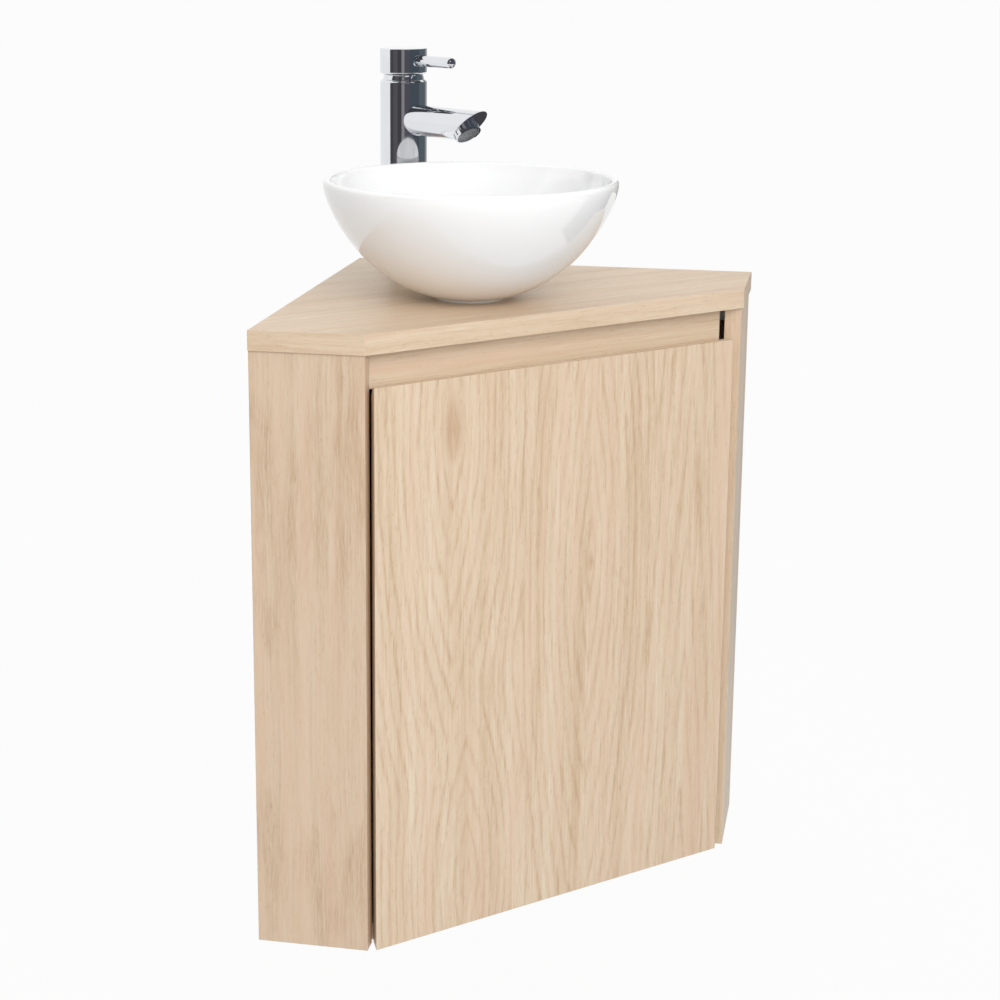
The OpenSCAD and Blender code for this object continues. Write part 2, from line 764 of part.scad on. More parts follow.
module tap_body() color("silver") at_tap() difference() {
    rotate_extrude() polygon([[0, tap_seat], [tap_r, tap_seat], [tap_r, tap_h - body_edge],
        [tap_r - body_edge, tap_h], [ring_r + seat_gap, tap_h], [ring_r + seat_gap, ring_z - 4],
        [cartridge_r + seat_gap, ring_z - 4], [cartridge_r + seat_gap, cartridge_z], [0, cartridge_z]]);
    for (x = [-1, 1]) translate([x * port_x, port_y, 0]) cylinder(r = port_r, h = port_depth + tap_seat);
    translate([0, stud_y, 0]) cylinder(r = stud_r + seat_gap, h = 12 + tap_seat);
}

module tap_seal() color("dimgray") at_tap() ring(tap_r - 0.8, tap_hole_r + 0.5, tap_seat);

module tap_spout() color("silver") at_tap() difference() {
    translate([0, 0, spout_z]) rotate([90, 0, 0])
        cylinder(r = spout_r, h = spout_reach + 2 * spout_r);
    cylinder(r = tap_r + 0.02, h = tap_h);
    at_spout_end() translate([-3 * spout_r, -5 * spout_r, -5 * spout_r])
        cube([6 * spout_r, 10 * spout_r, 5 * spout_r]);
    at_spout_end() translate([0, aerator_off, -1])
        cylinder(r = aerator_core_r + seat_gap, h = aerator_core + 1 + seat_gap);
}

module aerator_ring() color("silver") at_tap() at_spout_end() translate([0, aerator_off, 0])
    difference() {
        union() {
            translate([0, 0, -aerator_out]) cylinder(r = aerator_r, h = aerator_out);
            cylinder(r = aerator_core_r, h = aerator_core);
        }
        translate([0, 0, -aerator_out - 1]) cylinder(r = mesh_r + seat_gap, h = 2.4);
        translate([0, 0, -aerator_out - 1])
            cylinder(r = aerator_core_r - 2, h = aerator_out + aerator_core + 2);
        for (i = [0:aerator_slots - 1]) rotate(360 * i / aerator_slots)
            translate([aerator_r - 0.8, -0.7, -aerator_out + 1.6]) cube([2, 1.4, aerator_out]);
    }

module aerator_mesh() color("gray") at_tap() at_spout_end()
    translate([0, aerator_off, -aerator_out + 0.2]) cylinder(r = mesh_r, h = 1.2);

module cartridge_body() color("white") at_tap() difference() {
    union() {
        translate([0, 0, cartridge_z + seat_gap]) cylinder(r = cartridge_r, h = cartridge_h - seat_gap);
        translate([0, 0, cartridge_z + 1]) cylinder(r = collar_r, h = collar_top - cartridge_z - 1);
    }
    translate([0, 0, turret_z - 0.2]) cylinder(r = turret_r + side_gap, h = tap_h);
}

module cartridge_ring() color("goldenrod") at_tap() translate([0, 0, ring_z])
    ring(ring_r, collar_r + seat_gap, ring_top - ring_z);

// The chromed dome in the groove, round which the cap tilts
module tap_dome() color("silver") at_tap() rotate_extrude() {
    low = tap_h - tilt_z;
    polygon(concat([[ring_r + seat_gap, tap_h]],
        [for (k = [0:4]) let (z = low + dome_h * k / 4) [sqrt(dome_r * dome_r - z * z), tilt_z + z]],
        [[ring_r + seat_gap, tap_h + dome_h]]));
}

module cartridge_turret() color("whitesmoke") at_tap() difference() {
    translate([0, 0, turret_z]) cylinder(r = turret_r, h = turret_top - turret_z);
    translate([-stem_w / 2 - stem_gap, -stem_room, stem_low - 1.6])
        cube([stem_w + 2 * stem_gap, 2 * stem_room, tap_h]);
    translate([-2 * turret_r, 0, tilt_z]) rotate([0, 90, 0]) cylinder(r = tilt_pin_r, h = 4 * turret_r);
}

module cartridge_pin() color("silver") at_tap() translate([-tilt_pin_half, 0, tilt_z])
    rotate([0, 90, 0]) cylinder(r = tilt_pin_r, h = 2 * tilt_pin_half);

module cartridge_stem() color("silver") at_tap() difference() {
    translate([-stem_w / 2, -stem_w / 2, stem_low]) cube([stem_w, stem_w, stem_top - stem_low]);
    translate([-stem_w, 0, tilt_z]) rotate([0, 90, 0])
        cylinder(r = tilt_pin_r + side_gap, h = 2 * stem_w);
}

module lever_cap() color("silver") at_tap() difference() {
    hole = stem_w + 2 * seat_gap;
    rotate_extrude() polygon([[0, cap_roof], [cap_cavity_r, cap_roof], [cap_cavity_r, tilt_z + cap_in],
        [cap_mouth_r, cap_z], [tap_r - cap_edge, cap_z], [tap_r, cap_z + cap_edge], [tap_r, cap_top - 0.6],
        [tap_r - 0.6, cap_top], [0, cap_top]]);
    translate([-hole / 2, -hole / 2, cap_roof - 1]) cube([hole, hole, stem_top + seat_gap - cap_roof + 1]);
    translate([0, -hole / 2 - 2, lever_z]) rotate([90, 0, 0])
        cylinder(r = lever_neck_r + seat_gap, h = tap_r);
    translate([0, 0, lever_z]) rotate([-90, 0, 0]) cylinder(r = 2.5 + seat_gap, h = tap_r + 1);
}

// A slim neck in the cap, then a plain rod with a domed end
module lever_rod() color("silver") at_tap() translate([0, 0, lever_z]) rotate([90, 0, 0])
    rotate_extrude() polygon(concat(
        [[0, stem_w / 2 + 3], [lever_neck_r, stem_w / 2 + 3], [lever_neck_r, tap_r + lever_neck],
            [lever_r - 0.6, tap_r + lever_neck], [lever_r, tap_r + lever_neck + 0.6]],
        [for (a = [0:15:75]) [lever_r * cos(a), lever_reach - 0.7 * lever_r * (1 - sin(a))]],
        [[0, lever_reach]]));

module lever_screw() color("silver") at_tap() translate([0, 0, lever_z]) rotate([-90, 0, 0])
    translate([0, 0, stem_w / 2 + 0.2]) difference() {
        cylinder(r = 2.5, h = 12);
        translate([0, 0, 9]) cylinder(r = 1.4, h = 4, $fn = 6);
    }

module tap_stud() color("goldenrod") at_tap() translate([0, stud_y, 13 - stud_l])
    cylinder(r = stud_r, h = stud_l);

module clamp_plan() difference() {
    circle(r = clamp_r);
    translate([-clamp_notch * 2, -3]) square([clamp_notch * 4, clamp_r * 2]);
    translate([0, stud_y]) circle(r = stud_r + seat_gap);
}

module clamp_pad() color("dimgray") at_tap() translate([0, 0, -top_t - clamp_t])
    linear_extrude(clamp_t) clamp_plan();

module clamp_washer() color("silver") at_tap() translate([0, 0, -top_t - clamp_t - clamp_plate])
    linear_extrude(clamp_plate) clamp_plan();

module clamp_nut() color("goldenrod") at_tap()
    translate([0, stud_y, -top_t - clamp_t - clamp_plate - clamp_nut_h]) difference() {
        cylinder(r = clamp_nut_r, h = clamp_nut_h, $fn = 6);
        translate([0, 0, -1]) cylinder(r = stud_r + seat_gap, h = clamp_nut_h + 2);
    }

worktop();
side_panel_left();
side_panel_right();
bottom_panel();
front_rail();
rear_rail_left();
rear_rail_right();
back_panel_left();
back_panel_right();
cam_locks();
cam_bolts();
dowels();
rail_screws();
corner_blocks();
block_screws();
door_bumpers();
catch_housing();
catch_poles();
catch_screws();
hinge_plates();
hinge_arms();
plate_screws();
arm_screws();
door();
hinge_cups();
hinge_pins();
cup_screws();
strike_plate();
strike_screws();
basin();
basin_seal();
waste_flange();
waste_body();
waste_seal();
waste_washer();
waste_nut();
waste_plug();
trap_nut();
trap_inlet();
trap_bottle();
trap_cup();
outlet_nut();
trap_outlet();
wall_rose();
tap_body();
tap_seal();
tap_spout();
aerator_ring();
aerator_mesh();
cartridge_body();
cartridge_ring();
tap_dome();
cartridge_turret();
cartridge_pin();
cartridge_stem();
lever_cap();
lever_rod();
lever_screw();
tap_stud();
clamp_pad();
clamp_washer();
clamp_nut();
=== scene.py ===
"""Looks of a corner hand basin unit: finishes, finer pieces, studio and camera.

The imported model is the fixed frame. Boards, glazed ware and turned metal get finer
meshes in the same places, and every other node gets its real finish.
Sizes in the classes are millimetres, and meshes are in metres.
"""

from __future__ import annotations

import json
import logging
import math
from dataclasses import dataclass
from enum import Enum
from functools import cache
from typing import Optional, Sequence, Union

import bmesh
import bpy
from bmesh.types import BMesh
from bpy.types import Material, Mesh, Node, NodeSocket as Socket, NodeTree as Tree, Object
from mathutils import Matrix, Vector
from mathutils.geometry import tessellate_polygon


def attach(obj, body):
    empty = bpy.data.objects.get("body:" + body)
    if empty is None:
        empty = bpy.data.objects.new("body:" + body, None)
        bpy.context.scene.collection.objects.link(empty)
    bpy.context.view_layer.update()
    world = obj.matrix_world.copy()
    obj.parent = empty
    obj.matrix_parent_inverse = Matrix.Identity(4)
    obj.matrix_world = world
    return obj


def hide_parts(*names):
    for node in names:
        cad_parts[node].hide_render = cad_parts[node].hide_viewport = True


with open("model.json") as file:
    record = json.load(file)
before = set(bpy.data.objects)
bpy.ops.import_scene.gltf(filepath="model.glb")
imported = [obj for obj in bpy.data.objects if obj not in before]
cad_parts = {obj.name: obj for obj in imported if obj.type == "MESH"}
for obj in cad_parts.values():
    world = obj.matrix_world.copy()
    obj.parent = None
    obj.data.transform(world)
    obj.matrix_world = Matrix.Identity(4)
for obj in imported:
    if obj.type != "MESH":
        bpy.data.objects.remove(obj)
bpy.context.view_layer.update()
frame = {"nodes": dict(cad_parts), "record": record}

LOG = logging.getLogger("corner_basin_unit")
MM = 0.001
MERGE_M = 3e-6  # corners of a CAD mesh that lie closer than this are one
FLAT_DEG = 0.3  # CAD faces that meet at less than this are one
SHARP_DEG = 32  # and edges that turn more than this stay sharp
BEVEL_RAD = 0.3  # an edge that turns less than this gets no bevel
FACING, LEANING = 0.9, 0.6  # least part along an axis of the normal of a face across it, or leaning to it
Point = tuple[float, float]
Place = tuple[float, float, float]
Value = Union[Socket, float]


def colour(code: str) -> tuple[float, float, float, float]:
    """Turns an sRGB hex code into Blender's linear colour.

    Args:
        code: Six hex digits, such as "DAC3A8".

    Returns:
        Linear red, green, blue and an alpha of 1.
    """
    parts = [int(code[i : i + 2], 16) / 255 for i in (0, 2, 4)]
    linear = [p / 12.92 if p <= 0.04045 else ((p + 0.055) / 1.055) ** 2.4 for p in parts]
    return (linear[0], linear[1], linear[2], 1.0)


def add(tree: Tree, kind: str, sockets: Optional[dict] = None, **settings) -> Node:
    """Adds a node with its settings and links.

    Args:
        tree: The node tree of a material, world or geometry.
        kind: The node's type name.
        sockets: For an input's name or number, a value or the output to link to it.
        **settings: The node's own properties.

    Returns:
        The new node.
    """
    node = tree.nodes.new(kind)
    for name, value in settings.items():
        setattr(node, name, value)
    for key, value in (sockets or {}).items():
        socket = node.inputs[key]
        if isinstance(value, Socket):
            tree.links.new(value, socket)
        else:
            socket.default_value = value
    return node


def maths(tree: Tree, operation: str, *values: Value) -> Socket:
    """The output of one maths node on its values."""
    return add(tree, "ShaderNodeMath", dict(enumerate(values)), operation=operation).outputs[0]


def vector(tree: Tree, *values: Value) -> Socket:
    """The vector of up to three values."""
    return add(tree, "ShaderNodeCombineXYZ", dict(enumerate(values))).outputs[0]


def split(tree: Tree, value: Socket) -> list[Socket]:
    """The three parts of a vector."""
    return list(add(tree, "ShaderNodeSeparateXYZ", {0: value}).outputs)


def remap(tree: Tree, value: Socket, start: Point, end: Point = (0.0, 1.0)) -> Socket:
    """Maps a value from one range to another and holds it there."""
    ends = {"From Min": start[0], "From Max": start[1], "To Min": end[0], "To Max": end[1]}
    return add(tree, "ShaderNodeMapRange", {"Value": value, **ends}).outputs[0]


def blend(tree: Tree, share: Value, first: object, second: object) -> Socket:
    """Mixes two colours by the second one's share."""
    sockets = {"Factor": share, 6: first, 7: second}
    return add(tree, "ShaderNodeMix", sockets, data_type="RGBA").outputs[2]


def noise(tree: Tree, coords: Socket, size_mm: Point, detail: float = 1.0) -> Socket:
    """Noise whose spots have a width in X and Y and a length along Z.

    Args:
        tree: The node tree.
        coords: The place.
        size_mm: The width and the length, in mm.
        detail: How many finer layers lie on top.

    Returns:
        A value from 0 to 1.
    """
    across, along = (1 / (size * MM) for size in size_mm)
    sockets = {0: coords, 1: (across, across, along)}
    scaled = add(tree, "ShaderNodeVectorMath", sockets, operation="MULTIPLY").outputs[0]
    return add(tree, "ShaderNodeTexNoise", {"Vector": scaled, "Scale": 1.0, "Detail": detail}).outputs[0]


def new_material(name: str) -> tuple[Material, Tree, Socket]:
    """Makes an empty material.

    Args:
        name: What the real material is.

    Returns:
        The material, its node tree and the place in Object coordinates.
    """
    mat = bpy.data.materials.new(name)
    mat.use_nodes = True
    mat.node_tree.nodes.clear()
    return mat, mat.node_tree, add(mat.node_tree, "ShaderNodeTexCoord").outputs["Object"]


def surface(tree: Tree, height: Socket, strength: float, depth_mm: float, inputs: dict) -> None:
    """Ends a material in one shader with a bump.

    Args:
        tree: The material's tree.
        height: The bump's height.
        strength: Its strength.
        depth_mm: Its depth at height 1.
        inputs: The shader's inputs.
    """
    sockets = {"Height": height, "Strength": strength, "Distance": depth_mm * MM}
    normal = add(tree, "ShaderNodeBump", sockets).outputs[0]
    shader = add(tree, "ShaderNodeBsdfPrincipled", {**inputs, "Normal": normal})
    add(tree, "ShaderNodeOutputMaterial", {"Surface": shader.outputs[0]})


# Finishes


class Grain(Enum):
    """Which way a board's grain runs, as its across, depth and along axes."""

    UPRIGHT = ((1, 0, 0), (0, 1, 0), (0, 0, 1))
    UPRIGHT_LEFT = ((-0.7071, 0.7071, 0), (0.7071, 0.7071, 0), (0, 0, 1))
    UPRIGHT_RIGHT = ((0.7071, 0.7071, 0), (-0.7071, 0.7071, 0), (0, 0, 1))
    SIDEWAYS = ((0, 1, 0), (0, 0, 1), (1, 0, 0))
    LEFT_END = ((0.7071, 0.7071, 0), (0, 0, 1), (-0.7071, 0.7071, 0))
    RIGHT_END = ((-0.7071, 0.7071, 0), (0, 0, 1), (0.7071, 0.7071, 0))

    def turn(self) -> Place:
        """Rotation that brings the grain's axes to X, Y and Z."""
        return tuple(Matrix(self.value).to_euler())


@dataclass(frozen=True)
class Figure:
    """A place on a board around which the growth rings bend.

    Attributes:
        across: Distance from the object's middle line across the grain, in mm.
        along: Height or length along the grain, in mm.
        slim: How much narrower than long the rings are.
        first: Ring distance that is added, so that another figure wins near its own place.
        knot: Half the width of a small brown knot in the middle, in mm, or 0.
    """

    across: float
    along: float
    slim: float
    first: float = 0.0
    knot: float = 0.0


@dataclass(frozen=True)
class OakLaminate:
    """Oak-decor melamine laminate, pressed with a fine synchronised pore.

    The print gives short fibres, pale streaks, pointed growth rings and small darker pores,
    under a satin surface.

    Attributes:
        shift: Where on the print the board is cut, in mm.
        fibre_mm: Width and length of a fibre. Real ones are 0.3 mm wide; these still show.
        layers: Width and length of the streaks, stripes and bands, and their shares.
        wander: How far the grain swings, in metres.
        ring_rise: Width of the even and of the pointed part of a ring's distance.
        broken: How fibres break the rings up.
    """

    name: str
    grain: Grain
    figures: tuple[Figure, ...] = ()
    shift: Place = (0.0, 0.0, 0.0)
    light: str = "E9DCC6"
    middle: str = "DCC6AB"
    dark: str = "C6A888"
    blush: str = "DFC0A6"
    heart: str = "B58A66"
    fibre_mm: Point = (1.1, 16.0)
    fibre_share: float = 0.3
    layers: tuple[Place, ...] = ((2.3, 95.0, 0.38), (8.0, 260.0, 0.32), (30.0, 900.0, 0.42))
    pore_mm: Point = (1.3, 7.0)
    pore_range: Point = (0.6, 0.74)
    pore_depth: float = 0.16
    tone_range: Point = (0.12, 0.88)
    blush_mm: Point = (13.0, 420.0)
    blush_range: Point = (0.45, 0.75)
    blush_share: float = 0.55
    warp_mm: Point = (34.0, 240.0)
    wander: float = 0.013
    ring_mm: float = 8.0
    ring_depth: float = 0.33
    ring_rise: Point = (0.45, 0.55)
    ring_sharp: float = 3.0
    ring_join_mm: float = 12.0
    ring_rough_mm: Point = (11.0, 60.0)
    ring_rough: float = 0.8
    ring_patch_mm: Point = (18.0, 110.0)
    broken: Point = (-1.3, 1.25)
    knot_slim: float = 0.42
    roughness: float = 0.42
    spread: float = 0.05
    relief: float = 0.25
    relief_mm: float = 0.2

    def build(self) -> Material:
        """Builds the material.

        Returns:
            The material.
        """
        mat, tree, place = new_material(self.name)
        turned = add(tree, "ShaderNodeMapping", {"Vector": place, "Rotation": self.grain.turn()}).outputs[0]
        shift = [s * MM for s in self.shift]
        moved = add(tree, "ShaderNodeMapping", {"Vector": turned, "Location": shift}).outputs[0]
        bent = maths(tree, "ADD", noise(tree, moved, self.warp_mm, 2.0), -0.5)
        swing = maths(tree, "MULTIPLY", bent, self.wander)
        offset = vector(tree, swing, swing)
        grain = add(tree, "ShaderNodeVectorMath", {0: moved, 1: offset}, operation="ADD").outputs[0]
        fibre = noise(tree, grain, self.fibre_mm)
        parts = [(fibre, self.fibre_share)]
        parts += [(noise(tree, grain, (wide, long)), share) for wide, long, share in self.layers]
        tone: Value = 0.5 - 0.5 * sum(share for _, share in parts)
        for layer, share in parts:
            tone = maths(tree, "MULTIPLY_ADD", layer, share, tone)
        heart: Value = 0.0
        if self.figures:
            ring, heart = self.rings(tree, turned, swing, fibre)
            tone = maths(tree, "MULTIPLY_ADD", ring, -self.ring_depth, tone)
        pore = remap(tree, noise(tree, grain, self.pore_mm), self.pore_range)
        tone = maths(tree, "MULTIPLY_ADD", pore, -self.pore_depth, tone)
        ramp = add(tree, "ShaderNodeValToRGB", {"Fac": tone})
        stops = ramp.color_ramp.elements
        stops[0].position, stops[0].color = self.tone_range[0], colour(self.dark)
        stops[1].position, stops[1].color = self.tone_range[1], colour(self.light)
        stops.new(0.5).color = colour(self.middle)
        share = remap(tree, noise(tree, grain, self.blush_mm), self.blush_range, (0.0, self.blush_share))
        mixed = blend(tree, share, ramp.outputs[0], colour(self.blush))
        knotted = blend(tree, heart, mixed, colour(self.heart))
        rough = remap(tree, tone, (0, 1), (self.roughness + self.spread, self.roughness - self.spread))
        surface(tree, tone, self.relief, self.relief_mm, {"Base Color": knotted, "Roughness": rough})
        return mat

    def rings(self, tree: Tree, coords: Socket, swing: Socket, fibre: Socket) -> tuple[Socket, Value]:
        """Growth rings round the board's figures, drawn as rows of fibres.

        Args:
            tree: The material's tree.
            coords: The place, turned to the grain.
            swing: A small wandering of the grain, in metres.
            fibre: The noise of the fibres, which breaks the rings up.

        Returns:
            An output that is near 1 on a ring and 0 between two, and the knots' share of brown.
        """
        even, pointed = self.ring_rise
        nearest: Optional[Socket] = None
        heart: Value = 0.0
        for spot in self.figures:
            origin = (-spot.across * MM, 0, -spot.along * MM * spot.slim)
            sockets = {"Vector": coords, "Location": origin, "Scale": (1, 0, spot.slim)}
            x, _, z = split(tree, add(tree, "ShaderNodeMapping", sockets).outputs[0])
            leant = maths(tree, "MULTIPLY_ADD", swing, 0.5, x)
            side = maths(tree, "ABSOLUTE", leant)
            away = self.length(tree, maths(tree, "MULTIPLY", leant, even), z)
            far = maths(tree, "MULTIPLY_ADD", side, pointed, away)
            if spot.knot:
                reach = self.length(tree, leant, maths(tree, "MULTIPLY", z, self.knot_slim / spot.slim))
                brown = remap(tree, reach, (0.0, spot.knot * MM), (1.0, 0.0))
                heart = maths(tree, "MULTIPLY_ADD", brown, fibre, heart)
            far = maths(tree, "ADD", far, spot.first * MM)
            join = self.ring_join_mm * MM
            nearest = far if nearest is None else maths(tree, "SMOOTH_MIN", nearest, far, join)
        rough = maths(tree, "MULTIPLY", noise(tree, coords, self.ring_rough_mm, 2.0), self.ring_rough)
        turns = maths(tree, "MULTIPLY_ADD", nearest, 1 / (self.ring_mm * MM), rough)
        wave = maths(tree, "COSINE", maths(tree, "MULTIPLY", turns, math.tau))
        line = maths(tree, "POWER", maths(tree, "MULTIPLY_ADD", wave, 0.5, 0.5), self.ring_sharp)
        patchy = remap(tree, noise(tree, coords, self.ring_patch_mm), (0.35, 0.6), (0.4, 1.0))
        broken = maths(tree, "MULTIPLY", line, maths(tree, "MULTIPLY_ADD", fibre, *self.broken))
        return maths(tree, "MULTIPLY", broken, patchy), heart

    @staticmethod
    def length(tree: Tree, x: Value, y: Value) -> Socket:
        """The length of a flat vector."""
        flat = vector(tree, x, y)
        return add(tree, "ShaderNodeVectorMath", {0: flat}, operation="LENGTH").outputs["Value"]


@dataclass(frozen=True)
class Chipboard:
    """Raw cut edge of chipboard: pressed flakes, dull and slightly open."""

    name: str = "chipboard_core"
    pale: str = "CDB391"
    deep: str = "A88A65"
    flake_mm: float = 2.4
    roughness: float = 0.8
    relief: float = 0.4
    relief_mm: float = 0.3

    def build(self) -> Material:
        """Builds the material.

        Returns:
            The material.
        """
        mat, tree, place = new_material(self.name)
        flake = add(tree, "ShaderNodeTexVoronoi", {"Vector": place, "Scale": 1 / (self.flake_mm * MM)})
        height = flake.outputs["Distance"]
        mixed = blend(tree, height, colour(self.pale), colour(self.deep))
        surface(tree, height, self.relief, self.relief_mm, {"Base Color": mixed, "Roughness": self.roughness})
        return mat


@dataclass(frozen=True)
class Moulded:
    """A plain finish with a faint tone change and a fine surface, for glaze, metal, plastic and rubber.

    Attributes:
        mark: The colour that its faint clouds, specks or scratches drift to.
        spread: How much the roughness drifts.
        cloud_mm: Width of the faint clouds.
        grit_mm: Width of the fine surface's grains.
        depth_mm: Height of the fine surface.
        stretch: Length of a grain along Z over its width, for drawn or turned metal.
        coat: Weight of a clear coat, such as a glaze's glass.
        see_through: Transmission, for clear plastic.
    """

    name: str
    base: str
    mark: str
    roughness: float
    spread: float
    cloud_mm: float
    grit_mm: float
    depth_mm: float
    metallic: float = 0.0
    stretch: float = 1.0
    coat: float = 0.0
    coat_roughness: float = 0.03
    see_through: float = 0.0
    relief: float = 0.3
    least_rough: float = 0.02

    def build(self) -> Material:
        """Builds the material.

        Returns:
            The material.
        """
        mat, tree, place = new_material(self.name)
        cloud = noise(tree, place, (self.cloud_mm, self.cloud_mm), 2.0)
        grit = noise(tree, place, (self.grit_mm, self.grit_mm * self.stretch), 3.0)
        mixed = blend(tree, cloud, colour(self.base), colour(self.mark))
        least, most = max(self.roughness - self.spread, self.least_rough), self.roughness + self.spread
        rough = remap(tree, cloud, (0.0, 1.0), (least, most))
        inputs = {"Base Color": mixed, "Roughness": rough, "Metallic": self.metallic}
        if self.coat:
            inputs.update({"Coat Weight": self.coat, "Coat Roughness": self.coat_roughness})
        if self.see_through:
            inputs["Transmission Weight"] = self.see_through
        surface(tree, grit, self.relief, self.depth_mm, inputs)
        return mat


Finish = Union[OakLaminate, Chipboard, Moulded]

WHITE_GLAZE = Moulded("white_sanitary_glaze", "FAFAFA", "F5F5F5", 0.07, 0.02, 60, 9, 0.02, coat=0.35)
CHROME = Moulded("polished_chrome_plate", "E6E8EB", "DFE1E5", 0.05, 0.015, 25, 6, 0.002, metallic=1)
STEEL_MESH = Moulded("woven_stainless_steel", "C3C5C7", "A9ABAD", 0.35, 0.08, 2, 0.6, 0.05, metallic=1)
ZINC = Moulded("bright_zinc_plated_steel", "C9CCD0", "B4B9C0", 0.28, 0.08, 6, 0.7, 0.01, metallic=1)
BRASS = Moulded("turned_raw_brass", "D9B765", "C79F4C", 0.3, 0.06, 5, 0.5, 0.01, metallic=1, stretch=0.2)
WHITE_NYLON = Moulded("moulded_white_nylon", "EEEDE8", "E3E2DC", 0.45, 0.06, 12, 0.8, 0.02)
CLEAR_PU = Moulded("clear_soft_polyurethane", "F1F1EC", "E8E8E2", 0.2, 0.05, 5, 0.8, 0.01, see_through=0.75)
ACETAL = Moulded("moulded_acetal", "E9E6DC", "DEDACF", 0.38, 0.05, 8, 0.7, 0.01)
ACETAL_GREY = Moulded("pale_grey_acetal", "C6C6C4", "B8B8B6", 0.5, 0.05, 4, 0.7, 0.01)
SILICONE = Moulded("clear_silicone_seal", "DDD9D2", "D3CEC5", 0.35, 0.05, 9, 1.0, 0.03)
RUBBER = Moulded("black_sealing_rubber", "2B2B2C", "3A3A3B", 0.7, 0.1, 8, 0.5, 0.03)
HARDBOARD = Moulded("tempered_hardboard", "A5805C", "94704E", 0.55, 0.06, 14, 1.6, 0.04)
BEECH = Moulded("turned_beech", "D8B98E", "C7A273", 0.6, 0.05, 6, 0.8, 0.03, stretch=0.1)

# The finish of each of the record's slots whose nodes are one plain material
SLOT_FINISHES: dict[str, Moulded] = {
    "beech_dowel": BEECH,
    "white_glaze": WHITE_GLAZE,
    "chrome_plate": CHROME,
    "steel_mesh": STEEL_MESH,
    "zinc_plated_steel": ZINC,
    "raw_brass": BRASS,
    "white_plastic": WHITE_NYLON,
    "clear_bumper": CLEAR_PU,
    "cartridge_plastic": ACETAL,
    "seal_rubber": RUBBER,
    "hardboard": HARDBOARD,
}


@cache
def material(finish: Finish) -> Material:
    """The finish's material, built at its first use."""
    return finish.build()


def dress(mesh: Mesh, finish: Finish) -> None:
    """Gives a whole mesh one finish."""
    mesh.materials.clear()
    mesh.materials.append(material(finish))


# Shared mesh making


def home(node: str) -> str:
    """The body that carries a CAD node."""
    bodies = frame["record"]["behaviour"]["bodies"]
    return next(body for body, nodes in bodies.items() if node in nodes)


def slot_of(node: str) -> str:
    """The record's material slot of a CAD node."""
    return next(s["material_slot"] for s in frame["record"]["subparts"] if s["node"] == node)


def make_object(name: str, data: bpy.types.ID) -> Object:
    """Makes an object at the origin and links it to the scene.

    Args:
        name: Its name.
        data: Its mesh, camera or lamp.

    Returns:
        The object.
    """
    made = bpy.data.objects.new(name, data)
    bpy.context.scene.collection.objects.link(made)
    return made


def finish_piece(piece: Object, body: str, slot: str, *nodes: str) -> Object:
    """Ties a piece to its body, and lets it stand for its CAD nodes.

    Args:
        piece: The finished object.
        body: The body it rides on.
        slot: The record's material slot. It is not used.
        *nodes: The CAD nodes that it stands for.

    Returns:
        The same piece.
    """
    if nodes:
        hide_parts(*nodes)
    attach(piece, body)
    LOG.info("%s: %d faces on %s", piece.name, len(piece.data.polygons), body)
    return piece


def stand_in(piece: Object, node: str) -> Object:
    """Ties a piece to the body of the CAD node that it stands for."""
    return finish_piece(piece, home(node), slot_of(node), node)


def merged(node: str) -> BMesh:
    """Reads a CAD node's surface, with its corners merged and its flat faces joined.

    Args:
        node: The CAD node.

    Returns:
        The surface as a working mesh.
    """
    work = bmesh.new()
    work.from_mesh(frame["nodes"][node].data)
    bmesh.ops.remove_doubles(work, verts=work.verts, dist=MERGE_M)
    bmesh.ops.dissolve_limit(work, angle_limit=math.radians(FLAT_DEG), verts=work.verts, edges=work.edges)
    return work


def mesh_of(work: BMesh, name: str) -> Mesh:
    """Writes a working mesh out and frees it.

    Args:
        work: The working mesh.
        name: Name of the mesh that it is written to.

    Returns:
        The mesh.
    """
    mesh = bpy.data.meshes.new(name)
    work.to_mesh(mesh)
    work.free()
    return mesh


def smooth(mesh: Mesh, angle: float) -> None:
    """Shades a mesh smoothly, but for edges that turn more than an angle in degrees."""
    mesh.polygons.foreach_set("use_smooth", [True] * len(mesh.polygons))
    mesh.set_sharp_from_angle(angle=math.radians(angle))


def outward(mesh: Mesh) -> None:
    """Points a mesh's faces outwards by the sign of its volume.

    Args:
        mesh: A closed mesh.
    """
    work = bmesh.new()
    work.from_mesh(mesh)
    bmesh.ops.dissolve_degenerate(work, edges=work.edges, dist=1e-7)
    if work.calc_volume(signed=True) < 0:
        bmesh.ops.reverse_faces(work, faces=work.faces)
    work.to_mesh(mesh)
    work.free()


def merged_copy(node: str, name: str) -> Object:
    """Copies a CAD node as one merged surface with its flat faces joined.

    Args:
        node: The CAD node.
        name: Name of the new object.

    Returns:
        The new object.
    """
    mesh = mesh_of(merged(node), name)
    for layer in [a for a in mesh.attributes if a.name in ("custom_normal", "sharp_edge")]:
        mesh.attributes.remove(layer)
    smooth(mesh, SHARP_DEG)
    return make_object(name, mesh)


def soften(piece: Object, width_mm: float, shortest_mm: float) -> None:
    """Rounds a piece's long sharp edges with a live bevel.

    Args:
        piece: The object.
        width_mm: Width of the rounding.
        shortest_mm: Only edges at least this long are rounded, so hole rims stay as they are.
    """
    work = bmesh.new()
    work.from_mesh(piece.data)
    layer = work.edges.layers.float.new("bevel_weight_edge")
    for edge in work.edges:
        long = len(edge.link_faces) == 2 and edge.calc_length() >= shortest_mm * MM
        if long and edge.calc_face_angle() > BEVEL_RAD:
            edge[layer] = 1.0
    work.to_mesh(piece.data)
    work.free()
    bevel = piece.modifiers.new("soft_edges", "BEVEL")
    bevel.limit_method = "WEIGHT"
    bevel.width = width_mm * MM
    bevel.segments = 2
    bevel.harden_normals = True


